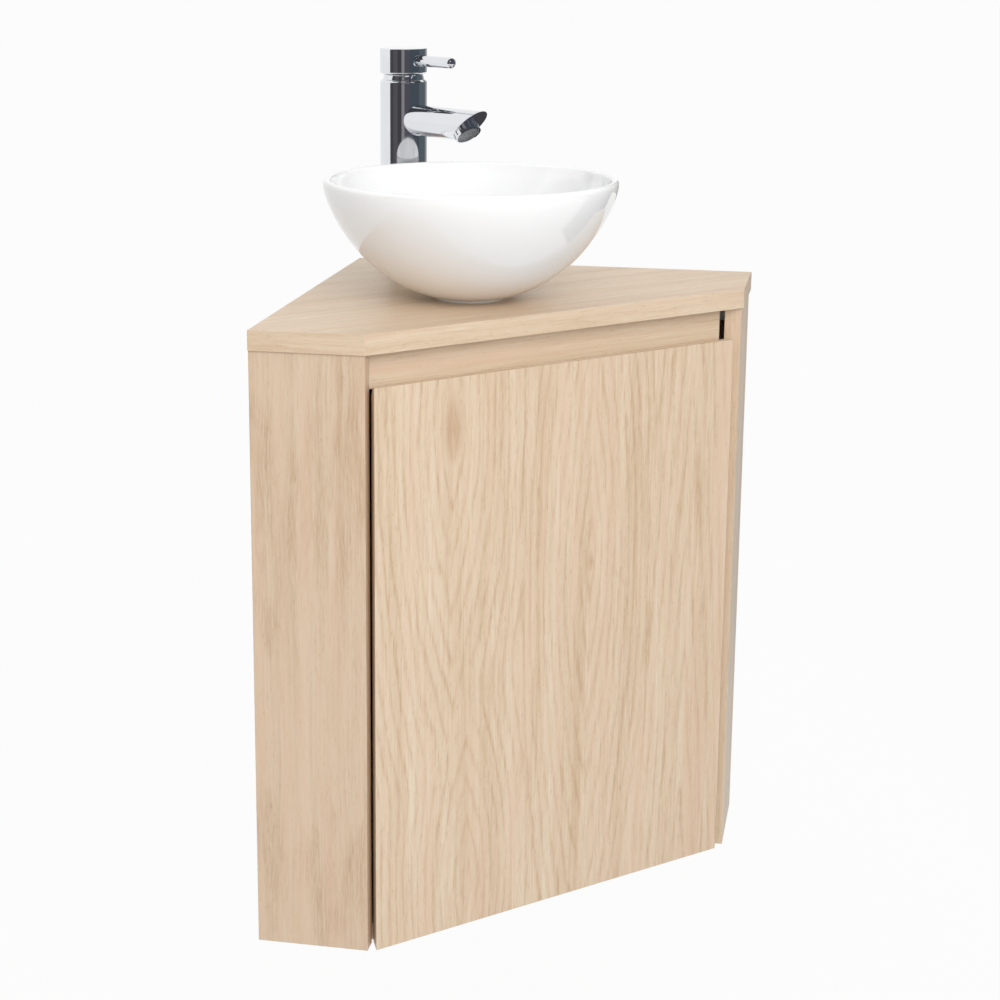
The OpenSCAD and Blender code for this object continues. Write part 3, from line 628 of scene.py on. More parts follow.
def arc(centre: Point, radius: float, start: float, end: float, steps: int) -> list[Point]:
    """Points of an arc, whose angles are in degrees from the outward direction."""
    angles = [math.radians(start + (end - start) * i / steps) for i in range(steps + 1)]
    return [(centre[0] + radius * math.cos(a), centre[1] + radius * math.sin(a)) for a in angles]


def bezier(points: Sequence[Point], steps: int) -> list[Point]:
    """Works out a cubic Bezier curve.

    Args:
        points: Its four control points.
        steps: Its number of steps.

    Returns:
        Its points, with both ends.
    """
    made = []
    for t in (i / steps for i in range(steps + 1)):
        weights = ((1 - t) ** 3, 3 * (1 - t) ** 2 * t, 3 * (1 - t) * t * t, t**3)
        made.append(tuple(sum(w * p[axis] for w, p in zip(weights, points)) for axis in (0, 1)))
    return made


def chamfer(start: Point, first: Point, second: Point, end: Point) -> list[Point]:
    """Points of a chamfer from first to second, whose two corners are rounded on its inner side."""
    middle = ((first[0] + second[0]) / 2, (first[1] + second[1]) / 2)
    return [*bezier([start, first, first, middle], 5), *bezier([middle, second, second, end], 5)[1:]]


def ladder(work: BMesh, upper: list, lower: list) -> None:
    """Joins two closed rows of as many corners by a strip of faces."""
    for i in range(len(upper)):
        work.faces.new((upper[i - 1], lower[i - 1], lower[i], upper[i]))


class Maker:
    """A Geometry Nodes tree with named inputs, whose result gets a finish.

    Attributes:
        name: Name of the tree.
        inputs: Name and kind of each input.
    """

    name = ""
    inputs: tuple[tuple[str, str], ...] = ()

    def __init__(self) -> None:
        """Builds the tree once."""
        self.tree = bpy.data.node_groups.new(self.name, "GeometryNodeTree")
        face = self.tree.interface
        self.keys: dict[str, str] = {}
        for label, kind in (*self.inputs, ("Finish", "Material")):
            made = face.new_socket(label, in_out="INPUT", socket_type="NodeSocket" + kind)
            self.keys[label] = made.identifier
        face.new_socket("Made", in_out="OUTPUT", socket_type="NodeSocketGeometry")
        self.given = add(self.tree, "NodeGroupInput").outputs
        real = add(self.tree, "GeometryNodeRealizeInstances", {0: self.shape()})
        sockets = {0: real.outputs[0], "Material": self.given["Finish"]}
        dressed = add(self.tree, "GeometryNodeSetMaterial", sockets)
        add(self.tree, "NodeGroupOutput", {0: dressed.outputs[0]})

    def shape(self) -> Socket:
        """Fills the tree from the inputs in given, and returns its geometry."""
        raise NotImplementedError

    def run(self, name: str, finish: Moulded, values: dict, mesh: Optional[Mesh] = None) -> Object:
        """Runs the tree and keeps its result as a plain smooth mesh.

        Args:
            name: Name of the piece.
            finish: The piece's finish.
            values: A value for each input, by its name.
            mesh: The mesh that goes in, if the tree takes one.

        Returns:
            The piece, at the origin.
        """
        holder = make_object(name + "_holder", mesh or bpy.data.meshes.new(name))
        modifier = holder.modifiers.new("make", "NODES")
        modifier.node_group = self.tree
        for label, value in values.items():
            modifier[self.keys[label]] = value
        modifier[self.keys["Finish"]] = material(finish)
        bpy.context.view_layer.update()
        seen = holder.evaluated_get(bpy.context.evaluated_depsgraph_get())
        result = bpy.data.meshes.new_from_object(seen)
        result.name = name
        bpy.data.objects.remove(holder)
        result.polygons.foreach_set("use_smooth", [True] * len(result.polygons))
        return make_object(name, result)


def settle(piece: Object, place: Matrix, angle: float) -> Object:
    """Sets a closed piece in its place, with its faces outwards.

    Args:
        piece: The piece, at the origin.
        place: Where its mesh goes.
        angle: Edges that turn more than this, in degrees, stay sharp.

    Returns:
        The same piece.
    """
    outward(piece.data)
    piece.data.transform(place)
    piece.data.set_sharp_from_angle(angle=math.radians(angle))
    return piece


class Lathe(Maker):
    """Turns an outline round an upright axis."""

    name = "turn_outline"
    inputs = (("Outline", "Geometry"), ("Segments", "Int"))

    def shape(self) -> Socket:
        """Bends a grid to the outline, with a column for each step round the axis.

        Returns:
            The turned surface.
        """
        tree, outline, segments = self.tree, self.given["Outline"], self.given["Segments"]
        rows = add(tree, "GeometryNodeAttributeDomainSize", {0: outline}, component="MESH").outputs[0]
        columns = maths(tree, "ADD", segments, 1.0)
        grid = add(tree, "GeometryNodeMeshGrid", {"Vertices X": columns, "Vertices Y": rows})
        index = add(tree, "GeometryNodeInputIndex").outputs[0]
        column = maths(tree, "FLOOR", maths(tree, "DIVIDE", index, rows))
        row = maths(tree, "MODULO", index, rows)
        spot = add(tree, "GeometryNodeInputPosition").outputs[0]
        sockets = {0: outline, "Value": spot, "Index": row}
        taken = add(tree, "GeometryNodeSampleIndex", sockets, data_type="FLOAT_VECTOR").outputs[0]
        radius, _, height = split(tree, taken)
        angle = maths(tree, "MULTIPLY", maths(tree, "DIVIDE", column, segments), math.tau)
        x, y = (maths(tree, "MULTIPLY", radius, maths(tree, part, angle)) for part in ("COSINE", "SINE"))
        sockets = {0: grid.outputs[0], "Position": vector(tree, x, y, height)}
        turned = add(tree, "GeometryNodeSetPosition", sockets).outputs[0]
        return add(tree, "GeometryNodeMergeByDistance", {0: turned, "Distance": 2e-6}).outputs[0]

    def turn(
        self,
        name: str,
        outline: Sequence[Point],
        finish: Moulded,
        place: Matrix,
        segments: int = 128,
        angle: float = 25,
    ) -> Object:
        """Turns an outline and sets it in its place.

        Args:
            name: Name of the piece.
            outline: Radius and height of each point, in mm, closed or ending on the axis.
            finish: The piece's finish.
            place: Where the axis's foot stands, in metres.
            segments: Steps round the axis.
            angle: Edges that turn more than this, in degrees, stay sharp.

        Returns:
            A closed mesh with its faces outwards, at the origin.
        """
        mesh = bpy.data.meshes.new(name)
        edges = [(i, i + 1) for i in range(len(outline) - 1)]
        mesh.from_pydata([(r * MM, 0.0, z * MM) for r, z in outline], edges, [])
        return settle(self.run(name, finish, {"Segments": segments}, mesh), place, angle)


class Thread(Maker):
    """Winds a ridge round an upright rod."""

    name = "wind_thread"
    inputs = tuple((label, "Float") for label in ("Radius", "Height", "Turns", "Ridge"))

    def shape(self) -> Socket:
        """Sweeps a small square along a spiral.

        Returns:
            The ridge.
        """
        tree = self.tree
        radius, height, turns, ridge = (self.given[label] for label, _ in self.inputs)
        path = {"Resolution": 40, "Rotations": turns, "Height": height, "Start Radius": radius}
        spiral = add(tree, "GeometryNodeCurveSpiral", {**path, "End Radius": radius})
        section = add(tree, "GeometryNodeCurvePrimitiveCircle", {"Resolution": 4, "Radius": ridge})
        sockets = {0: spiral.outputs[0], 1: section.outputs[0], "Fill Caps": True}
        return add(tree, "GeometryNodeCurveToMesh", sockets).outputs[0]

    def wind(self, name: str, sizes: Sequence[float], finish: Moulded, place: Matrix) -> Object:
        """Winds a thread.

        Args:
            name: Name of the piece.
            sizes: Radius of the ridge's middle, the thread's height, its pitch and half the ridge, in mm.
            finish: The piece's finish.
            place: Where the thread starts, in metres.

        Returns:
            The thread, at the origin.
        """
        radius, height, pitch, ridge = (size * MM for size in sizes)
        values = {"Radius": radius, "Height": height, "Turns": height / pitch, "Ridge": ridge}
        return settle(self.run(name, finish, values), place, 40)


class Weave(Maker):
    """Weaves straight wires over a round mouth.

    Attributes:
        lift: Rise of the second row over a wire's radius.
    """

    lift = 1.4
    name = "weave_wires"
    inputs = (*((label, "Float") for label in ("Radius", "Pitch", "Wire")), ("Count", "Int"))

    def shape(self) -> Socket:
        """Lays a row of wires, each as long as the mouth is there, and a second row across it.

        Returns:
            Both rows.
        """
        tree = self.tree
        radius, pitch, thick, count = (self.given[label] for label, _ in self.inputs)
        span = maths(tree, "MULTIPLY", maths(tree, "ADD", count, -1.0), pitch)
        first = vector(tree, maths(tree, "MULTIPLY", span, -0.5))
        sockets = {"Count": count, "Start Location": first, "Offset": vector(tree, pitch)}
        line = add(tree, "GeometryNodeMeshLine", sockets)
        spot = split(tree, add(tree, "GeometryNodeInputPosition").outputs[0])[0]
        square, whole = (maths(tree, "MULTIPLY", side, side) for side in (spot, radius))
        half = maths(tree, "SQRT", maths(tree, "SUBTRACT", whole, square))
        wire = add(tree, "GeometryNodeMeshCylinder", {"Vertices": 8, "Radius": thick, "Depth": 2.0})
        laid = add(tree, "GeometryNodeTransform", {0: wire.outputs[0], "Rotation": (math.pi / 2, 0, 0)})
        sockets = {"Points": line.outputs[0], "Instance": laid.outputs[0]}
        sockets["Scale"] = vector(tree, 1.0, half, 1.0)
        warp = add(tree, "GeometryNodeInstanceOnPoints", sockets).outputs[0]
        rise = vector(tree, 0.0, 0.0, maths(tree, "MULTIPLY", thick, self.lift))
        sockets = {0: warp, "Rotation": (0, 0, math.pi / 2), "Translation": rise}
        weft = add(tree, "GeometryNodeTransform", sockets)
        joined = add(tree, "GeometryNodeJoinGeometry", {0: warp})
        tree.links.new(weft.outputs[0], joined.inputs[0])
        return joined.outputs[0]

    def build(self, name: str, radius: float, pitch: float, wire: float, finish: Moulded) -> Object:
        """Weaves the wires.

        Args:
            name: Name of the piece.
            radius: Radius of the mouth, in mm.
            pitch: Distance between two wires, in mm.
            wire: Radius of a wire, in mm.
            finish: The piece's finish.

        Returns:
            The wires, flat in XY at the origin.
        """
        values = {"Radius": radius * MM, "Pitch": pitch * MM, "Wire": wire * MM}
        return self.run(name, finish, {**values, "Count": 2 * int((radius - 1) / pitch) + 1})


class Fastening(Maker):
    """Sets a head and a shank on every point of a mesh."""

    name = "set_fasteners"
    inputs = (("Places", "Geometry"), ("Head", "Object"))

    def shape(self) -> Socket:
        """Sets the heads and shanks, turned and sized by each point's own vectors.

        Returns:
            All of them.
        """
        tree = self.tree
        axis, head, rod = (
            add(tree, "GeometryNodeInputNamedAttribute", {"Name": name}, data_type="FLOAT_VECTOR").outputs[0]
            for name in ("axis", "head", "rod")
        )
        turn = add(tree, "FunctionNodeAlignRotationToVector", {"Vector": axis}, axis="Z").outputs[0]
        shape = add(tree, "GeometryNodeObjectInfo", {"Object": self.given["Head"]}).outputs["Geometry"]
        shank = add(tree, "GeometryNodeMeshCylinder", {"Vertices": 20, "Radius": 1.0, "Depth": 0.9})
        hung = add(tree, "GeometryNodeTransform", {0: shank.outputs[0], "Translation": (0, 0, -0.55)})
        joined = add(tree, "GeometryNodeJoinGeometry")
        for instance, scale in ((hung.outputs[0], rod), (shape, head)):
            sockets = {"Points": self.given["Places"], "Instance": instance, "Rotation": turn, "Scale": scale}
            placed = add(tree, "GeometryNodeInstanceOnPoints", sockets)
            tree.links.new(placed.outputs[0], joined.inputs[0])
        return joined.outputs[0]

    @staticmethod
    def cross_head(straight: bool) -> Object:
        """Makes a head of radius 1 and depth 1 with a cross recess in its face at height 0.

        Args:
            straight: Whether its side is upright, as a cam lock's, or tapers to the shank.

        Returns:
            The head.
        """
        count, arm, half, depth = 32, 0.6, 0.14, 0.5
        under = 1.0 if straight else 0.5
        ring = [(math.cos(math.tau * i / count), math.sin(math.tau * i / count)) for i in range(count)]
        cross: list[Point] = []
        for k in range(4):
            c, s = math.cos(math.pi * k / 2), math.sin(math.pi * k / 2)
            for x, y in ((half, -half), (arm, -half * 0.8), (arm, half * 0.8)):
                cross.append((c * x - s * y, s * x + c * y))
        work = bmesh.new()
        rows = ((ring, 0.95, 0), (ring, 1, -0.08), (ring, under, -1), (cross, 1, 0), (cross, 0.75, -depth))
        rim, side, foot, mouth, floor = (
            [work.verts.new((scale * x, scale * y, z)) for x, y in row] for row, scale, z in rows
        )
        top = rim + mouth
        for a, b, c in tessellate_polygon([[v.co for v in row] for row in (rim, mouth)]):
            work.faces.new((top[a], top[b], top[c]))
        for upper, lower in ((rim, side), (side, foot), (mouth, floor)):
            ladder(work, upper, lower)
        work.faces.new(foot)
        work.faces.new(floor)
        bmesh.ops.recalc_face_normals(work, faces=work.faces)
        mesh = mesh_of(work, "cross_head")
        outward(mesh)
        return make_object("cross_head", mesh)

    def build(self, name: str, places: Mesh, finish: Moulded, straight: bool) -> Object:
        """Sets the fasteners on their places.

        Args:
            name: Name of the piece.
            places: Points with the vectors axis, head (radius, radius, depth) and rod.
            finish: The piece's finish.
            straight: Whether the heads' sides are upright.

        Returns:
            The fasteners, at the origin.
        """
        head = self.cross_head(straight)
        piece = self.run(name, finish, {"Head": head}, places)
        bpy.data.objects.remove(head)
        piece.data.set_sharp_from_angle(angle=math.radians(35))
        return piece


LATHE = Lathe()
THREAD = Thread()
WEAVE = Weave()
FASTENING = Fastening()


# The unit's sub-assemblies


@dataclass
class Cabinet:
    """Boards of the carcass and the door.

    Attributes:
        edge_mm: Rounding of an edge band.
        shortest_mm: Shortest board edge that has an edge band.
    """

    edge_mm: float = 0.5
    shortest_mm: float = 12.0
    boards: tuple[str, ...] = (
        "worktop",
        "side_panel_left",
        "side_panel_right",
        "bottom_panel",
        "front_rail",
        "rear_rail_left",
        "rear_rail_right",
        "door",
    )
    upright: OakLaminate = OakLaminate("oak_laminate_upright", Grain.UPRIGHT, shift=(40, 0, 0))
    door_face: OakLaminate = OakLaminate(
        "oak_laminate_door",
        Grain.UPRIGHT,
        figures=(
            Figure(-122, 478, 0.17, 0, 15),
            Figure(32, 330, 0.13, 8, 5),
            Figure(-105, 40, 0.2, 16),
            Figure(150, -300, 0.06, 14),
        ),
    )
    # The left side's figures are its own grain. Its darker light, middle and dark colours are painted shade
    # on that side panel.
    shaded_left_face: OakLaminate = OakLaminate(
        "oak_laminate_left_side",
        Grain.UPRIGHT_LEFT,
        figures=(Figure(-40, 900, 0.09), Figure(-43, 456, 0.16, 6, 5), Figure(-170, 150, 0.12, 5)),
        shift=(300, 0, 200),
        light="E0CFB7",
        middle="D6BEA3",
        dark="C2A486",
    )
    right_face: OakLaminate = OakLaminate("oak_laminate_right_side", Grain.UPRIGHT_RIGHT, shift=(500, 0, 100))
    sideways: OakLaminate = OakLaminate("oak_laminate_top", Grain.SIDEWAYS, shift=(0, 0, 700))
    rail_face: OakLaminate = OakLaminate(
        "oak_laminate_rail", Grain.SIDEWAYS, shift=(90, 30, 350), fibre_mm=(1.1, 40)
    )
    left_end: OakLaminate = OakLaminate("oak_edge_band_left", Grain.LEFT_END, shift=(20, 0, 50))
    right_end: OakLaminate = OakLaminate("oak_edge_band_right", Grain.RIGHT_END, shift=(60, 0, 150))
    core: Chipboard = Chipboard()

    def finish_for(self, node: str, n: Vector) -> Finish:
        """Picks the finish of one face of a board: its grain's direction, or bare board.

        Args:
            node: The board.
            n: The face's outward normal.

        Returns:
            The finish.
        """
        flat, along = abs(n.z) > FACING, abs(n.z) > LEANING
        if node == "door":
            return self.rail_face if along else self.door_face if abs(n.y) > FACING else self.upright
        if node == "front_rail":
            return self.core if abs(n.x) > LEANING > abs(n.y) else self.rail_face
        if node.startswith("rear_rail"):
            return self.core if along else self.rail_face
        if node.startswith("side_panel"):
            right = node.endswith("right")
            bare = flat or n.y > LEANING and (n.x > 0) == right
            return self.core if bare else self.right_face if right else self.shaded_left_face
        if node == "worktop" and n.y < -LEANING and abs(n.x) > LEANING:
            return self.left_end if n.x < 0 else self.right_end
        return self.sideways if flat or n.y < -FACING else self.core

    def build(self) -> None:
        """Copies each board, bands its edges and gives each face its finish."""
        for node in self.boards:
            piece = merged_copy(node, node + "_board")
            kinds: dict[str, int] = {}
            for poly in piece.data.polygons:
                finish = self.finish_for(node, poly.normal)
                if finish.name not in kinds:
                    kinds[finish.name] = len(kinds)
                    piece.data.materials.append(material(finish))
                poly.material_index = kinds[finish.name]
            soften(piece, self.edge_mm, self.shortest_mm)
            stand_in(piece, node)


@dataclass
class Basin:
    """Round vessel basin, turned from one outline.

    Attributes:
        axis: Place of the basin's axis.
        low: Height of its foot above the carcass's underside.
        radius: Outer radius of the rim.
        height: Height of the basin.
        foot: Radius of the foot.
        rim: Thickness of the rim.
        waste: Radius of the waste hole.
    """

    axis: Point = (-34.0, -254.1747)
    low: float = 570.5
    radius: float = 135.5
    height: float = 110.5
    foot: float = 35.0
    foot_wall: float = 8.0
    foot_rise: float = 1.5
    rim: float = 7.0
    waste: float = 22.5
    floor: float = 14.0
    floor_radius: float = 31.0

    def outline(self) -> list[Point]:
        """Works out the outline.

        Returns:
            Its points, from the waste hole's lower edge round the outside and back.
        """
        r, h, half, rise, floor = self.radius, self.height, self.rim / 2, self.foot_rise, self.floor
        # Both walls are curves whose middle points are shares of the radius and the height
        outer = [(self.foot, rise), (0.75 * r, rise + 14.6), (1.005 * r, 0.79 * h), (r, h - half)]
        inner = [(self.floor_radius, floor), (0.66 * r, floor + 7), (0.93 * r, 0.77 * h)]
        inner.append((r - self.rim, h - half))
        foot, step = self.foot, self.foot - self.foot_wall
        line = [(self.waste, 0.5), (step, 0.5), (step + 0.5, 0.0), (foot - 1.3, 0.0), (foot - 0.5, 0.5)]
        line += bezier(outer, 56)
        line += arc((r - half, h - half), half, 15, 165, 10)
        line += bezier(inner, 56)[::-1]
        line += [(self.waste + 1.2, floor), (self.waste, floor - 1.0), (self.waste, 0.5)]
        return line

    def build(self) -> None:
        """Builds the basin."""
        place = Matrix.Translation(Vector((*self.axis, self.low)) * MM)
        stand_in(LATHE.turn("basin_bowl", self.outline(), WHITE_GLAZE, place, 192, 40), "basin")


@dataclass
class Tap:
    """Single-lever tap: plain cylinder, slanted spout, cap and thin lever.

    Attributes:
        foot: Place of the tap's axis on the worktop.
        turn: Turn of the tap towards the right, in degrees.
        radius: Radius of the body and cap.
        height: Height of the body.
        edge: Chamfer of the body's upper edge.
        cap_edge: Chamfer of the cap's lower edge.
        ease: Rounding of both chamfers, which clear each other when the cap tilts.
        tilt_z: Height of the axis on which the cap tilts, and of the dome's centre.
        spout_z: Height of the spout's axis.
        spout_r: Radius of the spout.
        reach: Reach of the spout's axis to its slanted end.
        slant: Slant of that end from level, in degrees.
        spout_gap: Gap between the spout's root and the body's side.
        spout_root: How far the root goes on behind that.
        end_rim: Width of the bright rim round the slanted end.
        bright_edge: Share of the end's outline inside that rim.
        aerator_off: How far below the spout's axis the aerator sits, along the slanted end.
        stud_thread: Sizes of the stud's thread.
    """

    foot: Place = (0.0, -85.0, 570.0)
    turn: float = 9.0
    radius: float = 23.0
    height: float = 188.2
    seat: float = 1.5
    edge: float = 2.2
    groove: float = 5.5
    cap_height: float = 24.6
    cap_edge: float = 1.5
    ease: float = 0.5
    cap_cavity: float = 17.5
    cavity_z: float = 198.8
    cap_mouth: float = 20.15
    cap_roof: float = 203.3
    cap_top: float = 0.6
    dome: float = 20.2
    dome_height: float = 5.0
    tilt_z: float = 186.2
    ring_r: float = 18.6
    ring_z: float = 174.3
    cartridge_r: float = 17.6
    cartridge_z: float = 154.2
    spout_z: float = 149.6
    spout_r: float = 15.0
    reach: float = 96.0
    slant: float = 40.0
    spout_steps: int = 120
    spout_gap: float = 0.02
    spout_root: float = 0.5
    end_rim: float = 0.3
    bright_edge: float = 0.985
    aerator_off: float = 7.4
    aerator_rise: float = 0.35
    aerator_hole: float = 10.9
    aerator_depth: float = 8.1
    aerator_out: float = 5.7
    mesh_r: float = 11.3
    mesh_pitch: float = 1.45
    wire_r: float = 0.24
    lever_z: float = 207.0
    lever_r: float = 5.4
    lever_neck: float = 3.4
    lever_root: float = 7.0
    lever_from: float = 26.0
    lever_to: float = 72.4
    stud: Place = (0.0, -10.0, -56.5)
    stud_thread: tuple[float, ...] = (3.86, 17.0, 1.25, 0.3)

    def place(self) -> Matrix:
        """The tap's own frame, in metres."""
        return Matrix.Translation(Vector(self.foot) * MM) @ Matrix.Rotation(math.radians(self.turn), 4, "Z")

    def turned(self, node: str, line: Sequence[Point], angle: float = 20) -> None:
        """Turns an upright chromed piece that stands for a CAD node."""
        stand_in(LATHE.turn(node + "_turned", line, CHROME, self.place(), 160, angle), node)

    def body(self) -> None:
        """The upright body, hollow at its top for the cartridge."""
        r, h, e = self.radius, self.height, self.edge
        line = [(0, self.seat), (r - 0.4, self.seat), (r, self.seat + 0.4)]
        line += chamfer((r, h - e - self.ease), (r, h - e), (r - e, h), (r - e - self.ease, h))
        line += [(self.ring_r, h), (self.ring_r, self.ring_z)]
        line += [(self.cartridge_r, self.ring_z), (self.cartridge_r, self.cartridge_z), (0, self.cartridge_z)]
        self.turned("tap_body", line)

    def cap(self) -> None:
        """The lever's cap, hollow below so that it can tilt round the dome."""
        r, e, low, top = self.radius, self.cap_edge, self.height + self.groove, self.cap_top
        high = low + self.cap_height
        line = [(0, self.cap_roof), (self.cap_cavity, self.cap_roof), (self.cap_cavity, self.cavity_z)]
        line.append((self.cap_mouth, low))
        line += chamfer((r - e - self.ease, low), (r - e, low), (r, low + e), (r, low + e + self.ease))
        line += [(r, high - top), *arc((r - top, high - top), top, 15, 75, 4), (r - top, high), (0, high)]
        self.turned("lever_cap", line)

    def dome_ring(self) -> None:
        """The chromed dome in the groove."""
        low, rise, steps = self.height - self.tilt_z, self.dome_height, 12
        line = [(self.ring_r, self.height)]
        for z in (low + rise * i / steps for i in range(steps + 1)):
            line.append((math.sqrt(self.dome**2 - z * z), self.tilt_z + z))
        line += [(self.ring_r, self.height + rise), (self.ring_r, self.height)]
        self.turned("tap_dome", line, 25)

    def spout_end(self) -> Matrix:
        """The frame of the spout's slanted end within the tap's own, in mm."""
        slope = Matrix.Rotation(-math.radians(self.slant), 4, "X")
        return Matrix.Translation((0, -self.reach, self.spout_z)) @ slope

    def spout(self) -> None:
        """The spout from the body's side to its slanted end, with the aerator's seat."""
        slope, end = math.radians(self.slant), self.spout_end()
        rings: list[list[Vector]] = [[] for _ in range(7)]
        for i in range(self.spout_steps):
            a = math.tau * i / self.spout_steps
            x, z = self.spout_r * math.sin(a), self.spout_r * math.cos(a)
            near = -math.sqrt((self.radius + self.spout_gap) ** 2 - x * x)
            far = -self.reach - z / math.tan(slope)
            middle = Vector((0, self.aerator_off, 0))
            hole = middle + Vector((math.sin(a), -math.cos(a), 0)) * self.aerator_hole
            deep = Vector((0, 0, self.aerator_depth))
            row = [Vector((x, y, self.spout_z + z)) for y in (near, (near + far) / 2, far + self.end_rim)]
            row.append(end @ (Vector((x, -z / math.sin(slope), 0)) * self.bright_edge))
            row += [end @ hole, end @ (hole + deep), end @ (middle + deep)]
            for ring, point in zip(rings, row):
                ring.append(point)
        work = bmesh.new()
        rows = [[work.verts.new(p * MM) for p in ring] for ring in rings]
        back = [work.verts.new(v.co + Vector((0, self.spout_root * MM, 0))) for v in rows[0]]
        for low, high in zip([back, *rows], rows):
            ladder(work, high, low)
        work.faces.new(back)
        bmesh.ops.remove_doubles(work, verts=work.verts, dist=1e-6)
        mesh = mesh_of(work, "tap_spout_turned")
        outward(mesh)
        mesh.transform(self.place())
        smooth(mesh, 20)
        dress(mesh, CHROME)
        stand_in(make_object("tap_spout_turned", mesh), "tap_spout")

    def lever(self) -> None:
        """The lever's neck and rod, with a domed end."""
        r, start, end, ease = self.lever_r, self.lever_from, self.lever_to, 0.6
        line = [(0, self.lever_root), (self.lever_neck, self.lever_root), (self.lever_neck, start)]
        line += [(r - ease, start), *arc((r - ease, start + ease), ease, -75, -15, 4), (r, start + ease)]
        angles = [math.radians(6 * i) for i in range(15)]
        line += [(r * math.cos(a), end - 0.7 * r * (1 - math.sin(a))) for a in angles]
        line.append((0, end))
        level = Matrix.Translation((0, 0, self.lever_z * MM)) @ Matrix.Rotation(math.radians(90), 4, "X")
        stand_in(LATHE.turn("lever_rod_turned", line, CHROME, self.place() @ level, 96, 28), "lever_rod")

    def aerator(self) -> None:
        """Woven wires over a pale plate in the aerator's mouth."""
        end = self.spout_end()
        end.translation *= MM
        out = Matrix.Translation(Vector((0, self.aerator_off, self.aerator_rise - self.aerator_out)) * MM)
        seat = self.place() @ end @ out
        weave = WEAVE.build("aerator_wires", self.mesh_r, self.mesh_pitch, self.wire_r, STEEL_MESH)
        weave.data.transform(seat)
        stand_in(weave, "aerator_mesh")
        line = [(0, 0.6), (self.mesh_r, 0.6), (self.mesh_r, 1.0), (0, 1.0)]
        finish_piece(LATHE.turn("aerator_plate", line, ACETAL_GREY, seat, 64), "cabinet", "steel_mesh")

    def build(self) -> None:
        """Builds the tap's main forms."""
        self.body()
        self.spout()
        self.cap()
        self.dome_ring()
        self.lever()
        self.aerator()
        foot = self.place() @ Matrix.Translation(Vector(self.stud) * MM)
        thread = THREAD.wind("tap_stud_thread", self.stud_thread, BRASS, foot)
        finish_piece(thread, "cabinet", "raw_brass")


@dataclass
class Waste:
    """Push-open waste: flange, plug and threaded tail.

    Attributes:
        axis: Place of the basin's axis.
        top: Height of the worktop's top face.
        flange_z: Height of the flange's underside above the worktop.
        tail: Radius of the tail over its thread.
        groove: Depth of that thread.
        opened: How far the stored plug stands above its seat.
    """

    axis: Point = (-34.0, -254.1747)
    top: float = 570.0
    flange_z: float = 15.1
    flange_r: float = 31.0
    flange_h: float = 2.4
    bore: float = 17.9
    tail: float = 20.9
    groove: float = 0.75
    thread_from: float = -71.2
    thread_h: float = 41.0
    pitch: float = 2.309
    ridge: float = 0.66
    plug_r: float = 29.0
    opened: float = 8.3

    def flange(self) -> list[Point]:
        """Works out the flange's outline.

        Returns:
            Its points.
        """
        z, r, h, inner = self.flange_z, self.flange_r, self.flange_h, self.tail + 0.1
        line = [(inner, z), (r, z), (r, z + 0.5), *arc((r - 0.4, z + 0.6), 0.4, 15, 60, 3)]
        line += bezier([(r - 0.8, z + 1.1), (r - 1.8, z + 1.9), (r - 2.6, z + h), (r - 4.2, z + h)], 8)
        line += [(self.bore + 4, z + h), (self.bore + 3.2, z + h - 0.1), (self.bore + 2.4, z + h - 0.5)]
        return [*line, (self.bore + 1.5, z + 1.2), (inner, z + 1.2), (inner, z)]

    def plug(self) -> list[Point]:
        """Works out the outline of the plug and its stem.

        Returns:
            Its points.
        """
        z, r = self.flange_z + self.flange_h + self.opened, self.plug_r
        line = [(0, z - 34), (3.6, z - 34), (4, z - 33.6), (4, z)]
        line += [(r - 1, z), (r - 0.3, z + 0.3), (r, z + 0.9)]
        return line + bezier([(r - 0.1, z + 1.3), (r * 0.9, z + 2.4), (r * 0.6, z + 3.4), (0, z + 3.4)], 24)

    def build(self) -> None:
        """Builds the flange, the plug and the tail's thread."""
        place = Matrix.Translation(Vector((*self.axis, self.top)) * MM)
        for node, line in (("waste_flange", self.flange()), ("waste_plug", self.plug())):
            stand_in(LATHE.turn(node + "_turned", line, CHROME, place), node)
        tail = merged_copy("waste_body", "waste_tail")
        for vert in tail.data.vertices:
            off = Vector((vert.co.x / MM - self.axis[0], vert.co.y / MM - self.axis[1]))
            if off.length > self.tail - 0.2:
                off *= (self.tail - self.groove) / off.length
                vert.co.x, vert.co.y = (self.axis[0] + off.x) * MM, (self.axis[1] + off.y) * MM
        dress(tail.data, CHROME)
        stand_in(tail, "waste_body")
        foot = place @ Matrix.Translation((0, 0, self.thread_from * MM))
        sizes = (self.tail - self.groove + 0.03, self.thread_h, self.pitch, self.ridge)
        thread = THREAD.wind("waste_tail_thread", sizes, CHROME, foot)
        finish_piece(thread, "cabinet", "chrome_plate")


